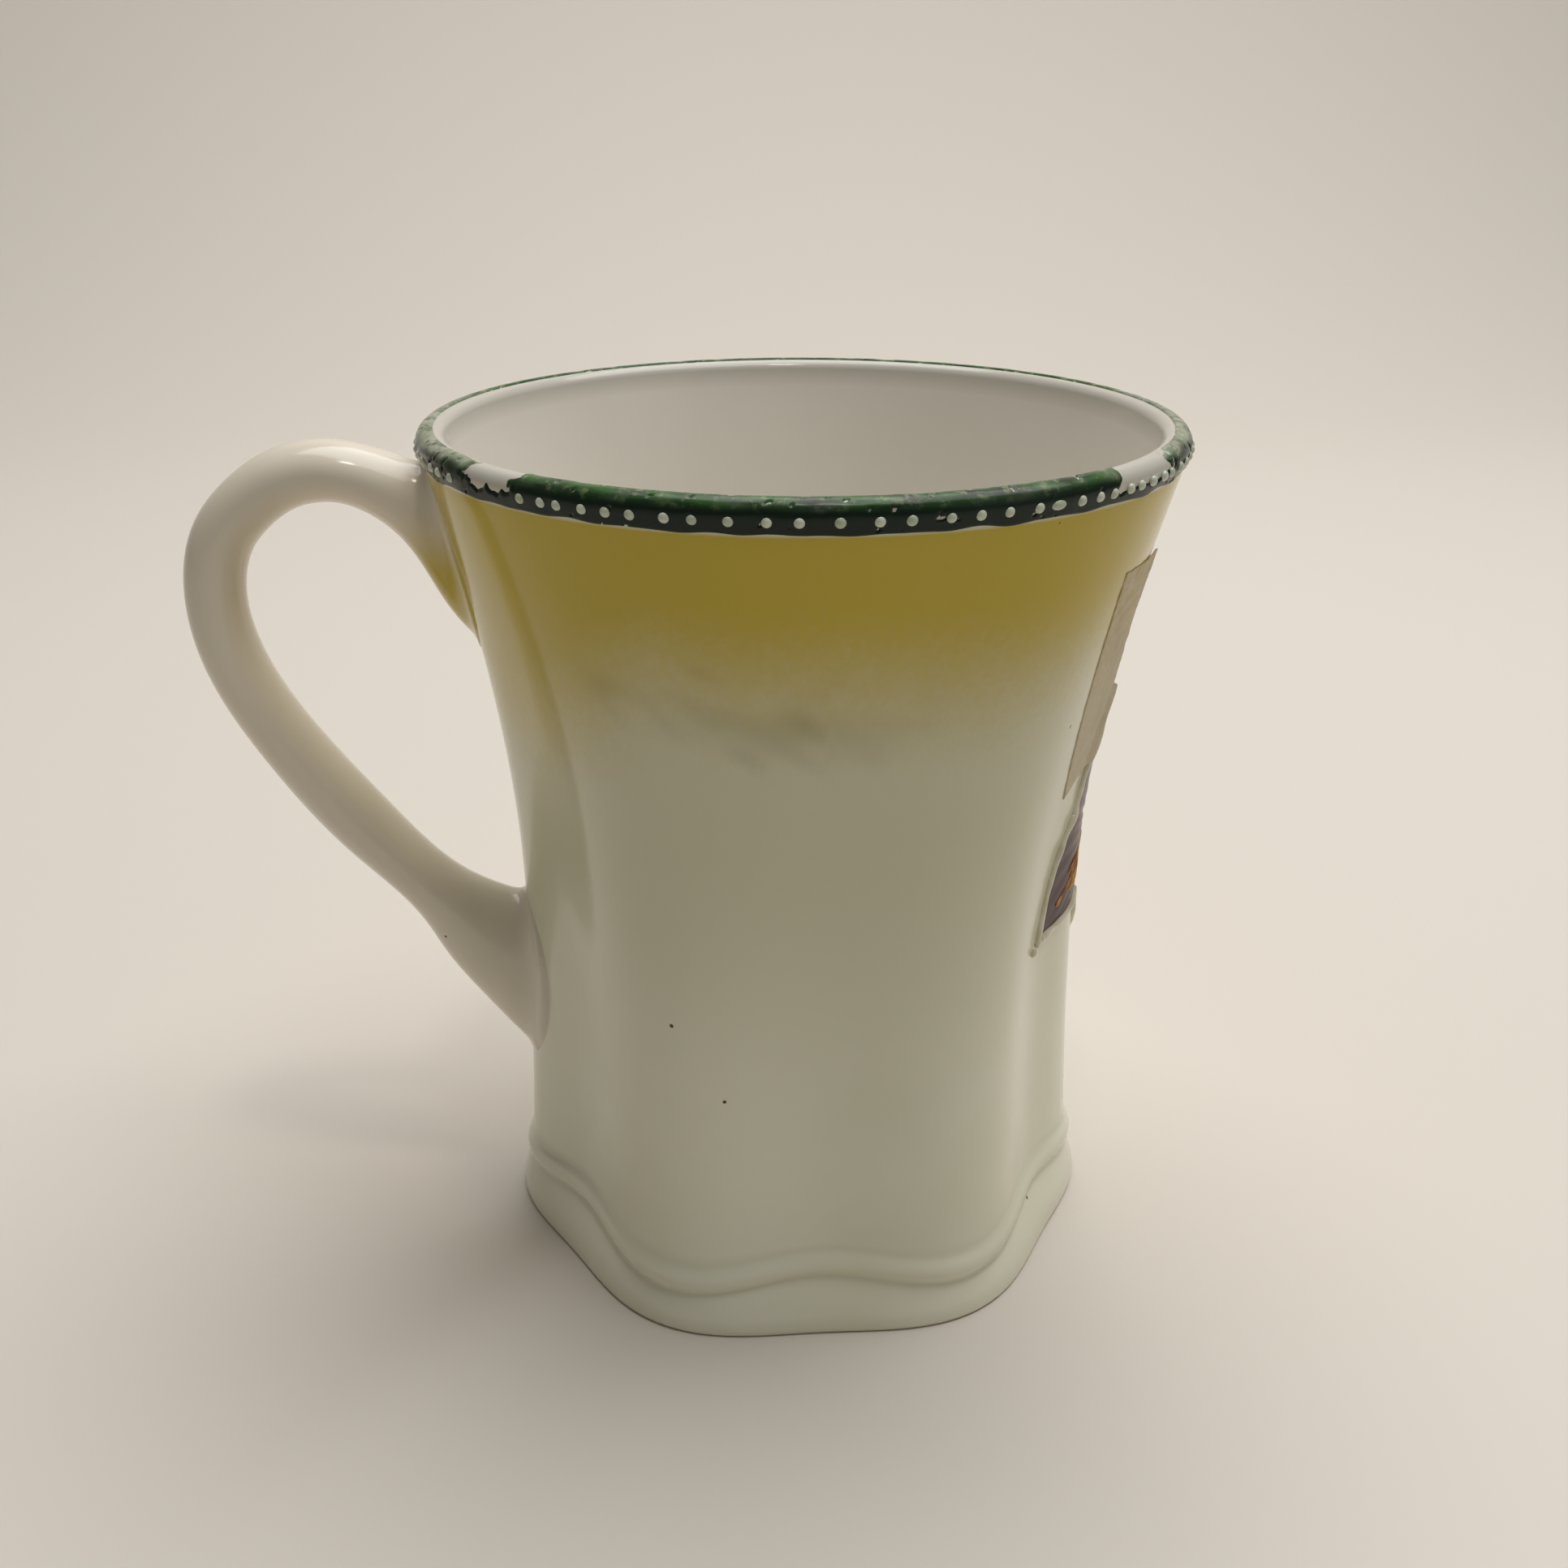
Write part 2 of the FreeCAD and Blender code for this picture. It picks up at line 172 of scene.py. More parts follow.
def newMaterial(name, roughness, ior=1.5, gloss=0.5):
    material = bpy.data.materials.new(name)
    material.use_nodes = True
    shader = material.node_tree.nodes["Principled BSDF"].inputs
    shader["Roughness"].default_value = roughness
    shader["IOR"].default_value = ior
    shader["Specular IOR Level"].default_value = gloss
    return material, material.node_tree, shader


# body: slip-cast in a six-lobed plaster mould, with a scalloped foot

body = {
    "height": 92.2, "rim": 39.7, "waist": 31.5, "waistHeight": 38.0, "shoulder": 32.3, "bulge": 0.34,
    "lobes": 6, "firstLobe": 30.0, "lobeDepth": 3.4, "plainRim": 4.0,
    "moulding": 8.4, "foot": 33.75, "footLobe": 2.3, "footCrown": 0.8, "footRound": 0.3,
    "groove": 5.25, "grooveRadius": 32.65, "grooveRound": 0.15, "grooveFade": 0.3,
    "ribbon": 6.85, "ribbonRadius": 33.1, "ribbonRound": 0.12, "scallop": 0.9, "runOut": 1.4,
    "wall": 3.5, "lipWidth": 2.9, "innerSoft": 0.6, "floor": 6.0, "floorRound": 8.0,
    "ringWidth": 4.0, "recess": 1.8, "lipOut": 1.3, "lipIn": 1.3, "around": 264,
}


def lobeWave(angle):
    # 1 on a lobe's crest, -1 in a valley; angle in radians
    return np.cos(body["lobes"] * (angle - math.radians(body["firstLobe"])))


def crestRadius(height):
    # waist + drop * share^2 below the waist; waist + rise * share^2 * (1 + bulge(1 - share)) above it
    height = np.asarray(height, float)
    low = (body["waistHeight"] - height) / (body["waistHeight"] - body["moulding"])
    high = (height - body["waistHeight"]) / (body["height"] - body["waistHeight"])
    below = body["waist"] + (body["shoulder"] - body["waist"]) * low ** 2
    above = body["waist"] + (body["rim"] - body["waist"]) * high ** 2 * (1 + body["bulge"] * (1 - high))
    return np.where(height < body["waistHeight"], below, above)


def lobeDepth(height):
    # quarter cosine from the moulding to the plain collar under the lip
    collar = body["height"] - body["plainRim"]
    share = (np.asarray(height, float) - body["moulding"]) / (collar - body["moulding"])
    return body["lobeDepth"] * np.cos(np.pi / 2 * np.clip(share, 0, 1))


def wallRadius(angle, height):
    return crestRadius(height) - lobeDepth(height) / 2 * (1 - lobeWave(angle))


def onWall(u, height, centre, lift=0.0):
    # the point of the wall straight behind (u, height) of a flat drawing that faces the angle
    # centre, raised outwards by lift; the radius and the angle are settled in a few rounds
    radius = crestRadius(height)
    for _ in range(8):
        angle = centre + np.arcsin(np.clip(u / radius, -1, 1))
        radius = wallRadius(angle, height)
    radius = radius + lift
    return np.stack([radius * np.sin(angle), -radius * np.cos(angle), height + 0 * radius], -1)


rimSlope = (body["rim"] - body["waist"]) / (body["height"] - body["waistHeight"]) * (2 - body["bulge"])
rimTilt = math.atan(rimSlope)  # lean of the wall from upright at the lip
outerRound = (body["rim"] - rimSlope * body["lipOut"] - body["lipOut"] / math.cos(rimTilt),
              body["height"] - body["lipOut"])  # middle of the lip's outer round: radius, height
thinning = (body["wall"] - body["lipWidth"]) / (body["height"] - body["floor"])  # of the wall, per mm up
innerTilt = math.atan(rimSlope + thinning)
innerRound = (body["rim"] - body["lipWidth"] - math.tan(innerTilt) * body["lipIn"]
              + body["lipIn"] / math.cos(innerTilt), body["height"] - body["lipIn"])


def outsideRings():
    # the moulding's rings, then the wall's: height, crest radius, lobe depth, scallop
    edge, groove = body["footLobe"], body["lobeDepth"] - body["grooveFade"]
    foot, ribbon, low = body["foot"], body["ribbonRadius"], body["grooveRadius"]
    scallop, shoulder, moulding = body["scallop"], body["shoulder"], body["moulding"]
    fade, soft, hard = body["grooveFade"], body["grooveRound"], body["ribbonRound"]
    rings = [
        (0.0, foot - body["footRound"], edge, 0.0),
        (0.3 * body["footCrown"], foot - 0.3 * body["footRound"], edge, 0.0),
        (body["footCrown"], foot, edge, 0.1 * scallop),
        (0.55 * body["groove"], 0.35 * low + 0.65 * foot, edge + 0.25, 0.5 * scallop),
        (0.85 * body["groove"], low + soft, groove - soft, 0.9 * scallop),
        (body["groove"], low, groove, scallop),
        ((body["groove"] + body["ribbon"]) / 2, ribbon - hard, groove + fade / 3, scallop),
        (body["ribbon"], ribbon, groove + 2 * fade / 3, scallop),
        ((body["ribbon"] + moulding) / 2, ribbon - 1.7 * hard, body["lobeDepth"], scallop),
        (moulding, shoulder + hard, body["lobeDepth"], 0.9 * scallop),
        (moulding + 0.5, shoulder, body["lobeDepth"], 0.75 * scallop),
    ]
    start = moulding + body["runOut"]
    collar = body["height"] - body["plainRim"]
    for share in (0.0, 0.035, 0.09, 0.2, 0.34, 0.48, 0.62, 0.76, 0.88, 1.0):
        height = start + (collar - start) * share
        left = max(0.0, 1 - (height - moulding) / moulding)
        crest, depth = float(crestRadius(height)), float(lobeDepth(height))
        rings.append((height, crest, depth, 0.5 * scallop * left ** 2))
    return np.array(rings)


def columns(height, crest, depth=0.0, wave=0.0, outside=0.0):
    return np.column_stack(np.broadcast_arrays(*map(np.atleast_1d, (height, crest, depth, wave, outside))))


def bodyProfile():
    # the whole section, from the middle of the underside out, up the outside, over the lip and
    # down the inside to the middle of the floor: height, crest radius, lobe depth, scallop, outside
    edge = body["footLobe"]
    hollow = body["foot"] - body["ringWidth"] - 0.6
    r = np.linspace(0, hollow - 0.3, 16)
    parts = [columns(body["recess"], r, edge * (r / hollow) ** 2)]
    t = np.linspace(0, 1, 8)
    parts.append(columns(body["recess"] * (1 - t) + 0.02, hollow + 0.8 * smoothStep(0, 1, t), edge))
    r = np.linspace(hollow + 1.1, body["foot"] - body["footRound"] - 0.2, 6)
    parts.append(columns(0.0, r, edge))

    rings = outsideRings()
    along = chordLength(rings)
    fine = np.concatenate([np.linspace(0, along[10], 96), np.linspace(along[10], along[-1], 122)[1:]])
    parts.append(columns(*(naturalSpline(along, rings[:, k], fine) for k in range(4)), 1.0))
    collar = np.linspace(rings[-1, 0], outerRound[1] - body["lipOut"] * math.sin(rimTilt), 6)[1:-1]
    parts.append(columns(collar, crestRadius(collar), outside=1.0))
    a = np.linspace(-rimTilt, np.pi / 2, 14)
    parts.append(columns(outerRound[1] + body["lipOut"] * np.sin(a),
                         outerRound[0] + body["lipOut"] * np.cos(a), outside=0.0 + (a < 0.3)))
    a = np.linspace(np.pi / 2, np.pi - innerTilt, 14)
    parts.append(columns(innerRound[1] + body["lipIn"] * np.sin(a),
                         innerRound[0] + body["lipIn"] * np.cos(a)))

    bottom = body["floor"] + body["floorRound"]
    h = np.linspace(innerRound[1] - 1.2, bottom, 70)
    soft = lobeDepth(h)
    wall = body["wall"] - thinning * (h - body["floor"])
    crest = crestRadius(h) - wall - (1 - body["innerSoft"]) / 2 * soft
    parts.append(columns(h, crest, body["innerSoft"] * soft))
    a = np.linspace(0, np.pi / 2, 14)[1:]
    lastCrest, lastDepth = parts[-1][-1, 1], parts[-1][-1, 2]
    drop = body["floorRound"]
    parts.append(columns(bottom - drop * np.sin(a), lastCrest - drop * (1 - np.cos(a)),
                         lastDepth * np.cos(a / 1.3)))
    r = np.linspace(parts[-1][-1, 1] - 1.5, 0, 14)
    parts.append(columns(body["floor"], r, parts[-1][-1, 2] * (r / (r[0] + 1.5)) ** 2))
    return np.vstack(parts)


def turnProfile(profile, around):
    # radius = crest - depth/2 (1 - lobeWave), height = height - scallop * lobeWave
    angle = np.linspace(0, 2 * np.pi, around, endpoint=False)
    height, crest, depth, wave = (profile[:, k][:, None] for k in range(4))
    radius = np.maximum(crest - depth / 2 * (1 - lobeWave(angle)), 0)
    return np.stack([radius * np.sin(angle), -radius * np.cos(angle), height - wave * lobeWave(angle)], -1)


glaze = {
    "white": "F1F0DC", "shade": "E9E8D0", "greyUpward": "D6D4B8", "inside": "EBE6DB", "handle": "EBE2D1",
    "handleShade": "E2D9C6", "bare": "CFC6B2", "pooledAndShade": "D3D2B6", "yellow": "C2AC34", "mist": "C4B158",
    "soot": "8E8B70", "lip": "CBC7BC", "speck": "54452F",
    "sprayLow": 0.0700, "sprayHigh": 0.0905, "bandEdge": 0.0893, "speckCell": 0.005,
    "roughness": 0.13, "gloss": 0.34,
    # angle in degrees, height and half width in millimetres, and strength of each sooty smudge
    "smudges": [(-36, 73.0, 1.8, 0.6), (-18, 71.0, 2.2, 0.3), (-9, 70.0, 2.8, 0.32), (2, 69.5, 3.0, 0.28)],
}


def glazedPorcelain(name, onBody):
    # hard-paste porcelain, cast in plaster and clear glazed: a smooth deep gloss over a warm white,
    # with a faint roll in the glaze and a few dark iron specks. The body has a ground of yellow
    # colour, airbrushed under the rim and fading down in a fine mist; the handle's upper root
    # caught a little of it. The foot ring was wiped clean of glaze, so it is dry and matt.
    material, tree, shader = newMaterial(name, glaze["roughness"], gloss=glaze["gloss"])
    place = addNode(tree, "TexCoord", "Object", {})
    z = addNode(tree, "SeparateXYZ", "Z", {0: place})
    cloud = addNode(tree, "TexNoise", "Fac", {"Vector": place, "Scale": 30.0, "Detail": 4.0})
    wobble = addNode(tree, "TexNoise", "Fac", {"Vector": place, "Scale": 42.0, "Detail": 3.0})
    mist = addNode(tree, "TexNoise", "Fac",
                   {"Vector": place, "Scale": 1100.0, "Detail": 2.0, "Roughness": 0.7})
    share = addNode(tree, "MapRange", 0, {0: cloud, 1: 0.35, 2: 0.72}, interpolation_type="SMOOTHSTEP")
    white, shade = ("white", "shade") if onBody else ("handle", "handleShade")
    colour = addNode(tree, "Mix", 2, {0: share, 6: hexColour(glaze[white]), 7: hexColour(glaze[shade])},
                     data_type="RGBA")
    height = addNode(tree, "Math", 0, {0: wobble, 1: 0.010, 2: z}, operation="MULTIPLY_ADD")
    height = addNode(tree, "Math", 0, {0: mist, 1: 0.005, 2: height}, operation="MULTIPLY_ADD")
    x = addNode(tree, "SeparateXYZ", "X", {0: place})
    left = addNode(tree, "MapRange", 0, {0: x, 1: -0.016, 2: -0.034, 4: 0.012})
    height = addNode(tree, "Math", 0, {0: height, 1: left}, operation="ADD")
    spray = addNode(tree, "MapRange", 0, {0: height, 1: glaze["sprayLow"], 2: glaze["sprayHigh"]},
                    interpolation_type="SMOOTHSTEP")
    if onBody:
        outside = addNode(tree, "Attribute", "Fac", {}, attribute_name="outside")
        colour = addNode(tree, "Mix", 2, {0: outside, 6: hexColour(glaze["inside"]), 7: colour},
                         data_type="RGBA")
        # the white greys a little going up the outside and on the lip, colour lies deeper in the moulding's
        # creases, as pooled glaze and as painted shade of the creases, and the spray's lower edge has sooty
        # smudges
        # the outside drawn greyer going up, from 14 mm to 60 mm
        greyUpward = addNode(tree, "MapRange", 0, {0: z, 1: 0.014, 2: 0.060}, interpolation_type="SMOOTHSTEP")
        greyUpward = addNode(tree, "Math", 0, {0: greyUpward, 1: outside}, operation="MULTIPLY")
        colour = addNode(tree, "Mix", 2, {0: greyUpward, 6: colour, 7: hexColour(glaze["greyUpward"])}, data_type="RGBA")
        soot = addNode(tree, "Attribute", "Fac", {}, attribute_name="soot")
        # pooled glaze and painted shade darken the moulding's creases
        pooledAndShade = addNode(tree, "Attribute", "Fac", {}, attribute_name="pooledAndShade")
        pooledAndShade = addNode(tree, "Math", 0, {0: pooledAndShade, 1: 0.35}, operation="MULTIPLY")
        colour = addNode(tree, "Mix", 2, {0: pooledAndShade, 6: colour, 7: hexColour(glaze["pooledAndShade"])},
                         data_type="RGBA")
        colour = addNode(tree, "Mix", 2, {0: soot, 6: colour, 7: hexColour(glaze["soot"])}, data_type="RGBA")
        # the lip drawn greyer above 89.3 mm, inside and out
        lip = addNode(tree, "MapRange", 0, {0: z, 1: 0.0893, 2: 0.0912})
        colour = addNode(tree, "Mix", 2, {0: lip, 6: colour, 7: hexColour(glaze["lip"])}, data_type="RGBA")
        spray = addNode(tree, "Math", 0, {0: spray, 1: outside}, operation="MULTIPLY")
        masked = addNode(tree, "MapRange", 0, {0: z, 1: glaze["bandEdge"], 2: glaze["bandEdge"] - 0.0003})
        spray = addNode(tree, "Math", 0, {0: spray, 1: masked}, operation="MULTIPLY")
    else:
        near = addNode(tree, "MapRange", 0, {0: x, 1: -0.0445, 2: -0.0385}, interpolation_type="SMOOTHSTEP")
        under = addNode(tree, "MapRange", 0, {0: z, 1: 0.0850, 2: 0.0765}, interpolation_type="SMOOTHSTEP")
        near = addNode(tree, "Math", 0, {0: near, 1: under}, operation="MULTIPLY")
        spray = addNode(tree, "Math", 0, {0: spray, 1: near}, operation="MULTIPLY")
    deep = addNode(tree, "MapRange", 0, {0: z, 1: 0.070, 2: 0.083}, interpolation_type="SMOOTHSTEP")
    yellow = addNode(tree, "Mix", 2, {0: deep, 6: hexColour(glaze["mist"]), 7: hexColour(glaze["yellow"])},
                     data_type="RGBA")
    colour = addNode(tree, "Mix", 2, {0: spray, 6: colour, 7: yellow}, data_type="RGBA")
    cell = {"Vector": place, "Scale": 1 / glaze["speckCell"]}
    far = addNode(tree, "TexVoronoi", "Distance", cell)
    chance = addNode(tree, "SeparateColor", 0, {0: addNode(tree, "TexVoronoi", "Color", cell)})
    close = addNode(tree, "Math", 0, {0: far, 1: 0.045}, operation="LESS_THAN")
    few = addNode(tree, "Math", 0, {0: chance, 1: 0.90}, operation="GREATER_THAN")
    speck = addNode(tree, "Math", 0, {0: close, 1: few}, operation="MULTIPLY")
    colour = addNode(tree, "Mix", 2, {0: speck, 6: colour, 7: hexColour(glaze["speck"])}, data_type="RGBA")
    dry = addNode(tree, "MapRange", 0, {0: z, 1: 0.0004, 2: 0.0001})
    colour = addNode(tree, "Mix", 2, {0: dry, 6: colour, 7: hexColour(glaze["bare"])}, data_type="RGBA")
    roll = addNode(tree, "TexNoise", "Fac", {"Vector": place, "Scale": 110.0, "Detail": 2.0})
    normal = addNode(tree, "Bump", 0, {"Height": roll, "Strength": 0.06, "Distance": 0.0006})
    tree.links.new(colour, shader["Base Color"])
    matt = addNode(tree, "Math", 0, {0: dry, 1: 0.55, 2: glaze["roughness"]}, operation="MULTIPLY_ADD")
    tree.links.new(matt, shader["Roughness"])
    tree.links.new(normal, shader["Normal"])
    return material


def makeBody():
    profile = bodyProfile()
    # the groove and the moulding's top edge, darkened by pooled glaze and by painted shade of these creases
    near = np.exp(-((profile[:, 0] - body["groove"]) / 0.55) ** 2)
    upper = np.exp(-((profile[:, 0] - body["moulding"] - 0.15) / 0.5) ** 2)
    marks = {"outside": profile[:, 4][None, :, None],
             "pooledAndShade": ((near + upper) * profile[:, 4])[None, :, None]}
    degrees = np.linspace(0, 360, body["around"], endpoint=False)[None, :]
    soot = 0 * degrees
    uneven = ripple(8, 3.0, 17)(np.radians(degrees) * body["waist"], profile[:, 0][:, None])
    for turn, height, half, strength in glaze["smudges"]:
        # a soft spot: strength * exp(-(distance / half)^2), its edge unsettled by a slow ripple
        across = np.radians((degrees - turn + 180) % 360 - 180) * body["waist"] * 1.1
        up = profile[:, 0][:, None] - height
        away = np.hypot(across / 1.5, up) * (1 + 0.3 * uneven)
        soot = soot + strength * np.exp(-(away / half) ** 2)
    marks["soot"] = (np.clip(soot, 0, 1) * profile[:, 4][:, None])[None]
    grid = turnProfile(profile, body["around"])
    piece = addSurface("porcelain_body", grid, loopAcross=True, startPole=True, endPole=True, marks=marks)
    finishPiece(piece, glazedPorcelain("glazed_porcelain_body", True), "mug_body")


# handle: a cast loop, stuck on with slip, so its roots run into the wall in small fillets

handle = {
    "reach": 22.2, "drop": 5.0, "thick": 6.4, "wide": 8.6,
    "root": 19.5, "rootDrop": 4.0, "rootSpread": 1.6, "tail": 18.0, "tailTop": 40.0, "tailSpread": 1.4,
    "bury": 3.0, "filletThin": 0.7, "filletWide": 2.2, "sunk": 1.2, "rings": 340, "around": 64,
    # ovals of the crook and of the straight leg below it: share of the way out from the wall to the
    # loop's far side, share of the way down from its top, what is added to half the thickness and to
    # half the width, and the turn of the oval's plane in degrees
    "crook": [(0.134, 0.082, 2.2, 0.3, 178), (0.220, 0.046, 0.7, 0.0, 172), (0.351, 0.014, 0.0, 0.0, 162),
              (0.524, 0.000, 0.0, 0.0, 181), (0.674, 0.014, 0.0, 0.0, 202), (0.823, 0.057, 0.0, 0.0, 222),
              (0.937, 0.117, 0.0, 0.0, 243), (1.000, 0.221, -0.1, 0.0, 270)],
    "leg": [(0.967, 0.352, -0.1, 0.0, 288), (0.806, 0.527, 0.0, 0.0, 301), (0.545, 0.719, 0.1, 0.0, 311),
            (0.293, 0.870, 0.5, 0.0, 314), (0.191, 0.929, 2.0, 0.3, 322)],
}


def handleSections():
    # ovals along the loop, root to root: x, z, half thickness, half width, turn in degrees
    thick, wide, bury = handle["thick"] / 2, handle["wide"] / 2, handle["bury"]
    top, reach = body["height"] - handle["drop"], body["rim"] + handle["reach"]
    root = body["height"] - handle["rootDrop"] - handle["root"] / 2
    tail = handle["tailTop"] - handle["tail"] / 2
    rootWall, tailWall = float(crestRadius(root)), float(crestRadius(tail))
    rows = [(-(rootWall - bury), root, handle["root"] / 2 + 1.0, wide + handle["rootSpread"], 180),
            (-(rootWall + 1.2), root + 2.0, handle["root"] / 2 - 2.0, wide + 0.6 * handle["rootSpread"], 180)]
    for wallAt, ovals in ((rootWall, handle["crook"]), (tailWall, handle["leg"])):
        for out, down, thicker, wider, tilt in ovals:
            rows.append((-(wallAt + (reach - wallAt) * out), top - (top - tail) * down,
                         thick + thicker, wide + wider, tilt))
    long, spread = handle["tail"] / 2, handle["tailSpread"]
    rows.append((-(tailWall + 2.6), tail + 1.0, long - 1.9, wide + 0.6 * spread, 340))
    rows.append((-(tailWall - bury), tail - 2.0, long + 4.4, wide + spread, 360))
    return np.array(rows)


def makeHandle():
    # oval swept along the loop; where a point stands h outside the wall and h is less than the
    # fillet f, it moves sideways by f - sqrt(f^2 - (f - h)^2), which meets the wall at a tangent
    table = handleSections()
    along = chordLength(table)
    at = np.linspace(0, along[-1], handle["rings"])
    x, z, half, wide, tilt = (naturalSpline(along, table[:, k], at)[:, None] for k in range(5))
    tilt = np.radians(tilt)
    turn = np.linspace(0, 2 * np.pi, handle["around"], endpoint=False)[None, :]
    zero = 0 * turn * x
    upright = np.stack([-np.sin(tilt) + zero, zero, np.cos(tilt) + zero], -1)
    across = np.stack([zero, 1 + zero, zero], -1)
    middle = np.stack([x + zero, zero, z + zero], -1)
    grid = (middle + upright * (half * np.cos(turn))[..., None] + across * (wide * np.sin(turn))[..., None])

    face = upright * (np.cos(turn) / half)[..., None] + across * (np.sin(turn) / wide)[..., None]
    angle = np.arctan2(grid[..., 0], -grid[..., 1])
    radial = np.stack([np.sin(angle), -np.cos(angle), 0 * angle], -1)
    sideways = face - radial * (face * radial).sum(-1, keepdims=True)
    sideways /= np.maximum(np.linalg.norm(sideways, axis=-1, keepdims=True), 1e-6)
    out = np.hypot(grid[..., 0], grid[..., 1]) - wallRadius(angle, grid[..., 2])
    fillet = handle["filletThin"] + (handle["filletWide"] - handle["filletThin"]) * np.sin(turn) ** 2
    inside = np.clip(fillet - out, 0, fillet)
    grid = grid + sideways * (fillet - np.sqrt(fillet ** 2 - inside ** 2))[..., None]

    angle = np.arctan2(grid[..., 0], -grid[..., 1])
    radius = np.hypot(grid[..., 0], grid[..., 1])
    deepest = wallRadius(angle, np.minimum(grid[..., 2], body["height"])) - handle["sunk"]
    grid[..., :2] *= (np.maximum(radius, deepest) / radius)[..., None]
    start, end = (ring.mean(1, keepdims=True) + 0 * ring for ring in (grid[:1], grid[-1:]))
    grid = np.concatenate([start, grid, end])[:, ::-1]
    piece = addSurface("porcelain_handle", grid, loopAcross=True, startPole=True, endPole=True)
    finishPiece(piece, glazedPorcelain("glazed_porcelain_handle", False), "handle")


# rim: a band of green enamel brushed over the glaze, and beads of white enamel dabbed on it

band = {
    "enamel": 0.2, "height": 2.95, "flat": 0.35, "edge": 0.22, "buried": 0.35, "around": 1400,
    "bareRight": (40.8, 59.0), "bareLeft": (-57.5, -44.5),  # angles between which the enamel is worn off
    "flecks": (65.5, -66.0),                                # angles about which small flecks are rubbed off
    "deep": "16241A", "leaf": "3A6A2E", "rubbed": "90A072", "sheenAndWearGrey": "A9AD98",
}
beads = {"count": 92, "drop": 1.75, "radius": 0.53, "rise": 0.34, "drift": 2.6, "wander": 0.35,
         "lost": (-56.5, -45.0), "smeared": 29.5,  # angles of the beads worn away, and of one smeared
         "deep": "D5DBC8", "pale": "B4C0A4"}


def lipSkin():
    # points up the outside of the lip and on to its flat top, with their outward direction and
    # their distance along the band
    low = body["height"] - band["height"]
    side = np.linspace(low, outerRound[1] - body["lipOut"] * math.sin(rimTilt), 14)
    a = np.linspace(-rimTilt, np.pi / 2, 18)[1:]
    flat = np.linspace(0, band["flat"], 5)[1:]
    bend, rise = outerRound[0] + body["lipOut"] * np.cos(a), outerRound[1] + body["lipOut"] * np.sin(a)
    radius = np.concatenate([crestRadius(side), bend, outerRound[0] - flat])
    height = np.concatenate([side, rise, body["height"] + 0 * flat])
    lean = np.concatenate([np.full(len(side), -rimTilt), a, np.full(len(flat), np.pi / 2)])
    along = chordLength(np.column_stack([radius, height]))
    return radius, height, lean, along


def chipped(degrees, along):
    # how bare the band is, 0 to 1: a chip on the right with a sharp left edge that leaves only the
    # band's lowest line, a worn wedge on the left, wide at the lip and narrow below, and small
    # flecks rubbed off the lip, most of them close to the two bare places
    arc = np.radians(degrees) * body["rim"]
    ragged = ripple(14, 1.1, 3)(arc, along)
    fine = ripple(20, 0.5, 9)(arc, along)
    start, end = band["bareRight"]
    right = (smoothStep(start - 0.3, start + 0.3, degrees + 0.4 * ragged + 0.25 * fine - 0.5 * (along - 1.5))
             * smoothStep(end + 1.5, end - 4.0, degrees + 2.2 * ragged + 1.2 * fine)
             * smoothStep(0.95, 1.35, along + 0.22 * ragged + 0.12 * fine))
    start, end = band["bareLeft"]
    narrow = 2.2 * np.clip(3.2 - along, 0, 3)
    left = (smoothStep(start + narrow - 1.2, start + narrow + 1.2, degrees + 1.8 * ragged + 1.2 * fine)
            * smoothStep(end + 0.7, end - 0.7, degrees + 0.8 * ragged + 0.5 * fine + 0.35 * narrow)
            * smoothStep(1.0, 1.8, along + 0.35 * ragged))
    close = sum(np.exp(-((degrees - place) / 10.0) ** 2) for place in band["flecks"])
    rubbed = smoothStep(1.75, 2.0, fine + 0.5 * ragged + 0.55 * smoothStep(2.4, 3.9, along) + 0.7 * close)
    return np.clip(np.maximum(np.maximum(right, left), rubbed), 0, 1)


def sheenAndWear(degrees, along):
    # how grey the enamel is drawn without baring the glaze: a painted sheen, mottled like wear, greyish on
    # the lip towards the handle and towards the flower, the sides seen from the camera, and faintly so all
    # along its top
    arc = np.radians(degrees) * body["rim"]
    cloud = 0.5 + 0.5 * ripple(12, 2.5, 13)(arc, 2 * along)
    top = smoothStep(2.3, 3.3, along + 0.3 * cloud)
    sides = smoothStep(38, 58, np.abs(degrees + 4.0)) * smoothStep(125, 95, np.abs(degrees))
    return np.clip(top * (0.15 + 0.85 * sides) * (0.55 + 0.6 * cloud), 0, 1)


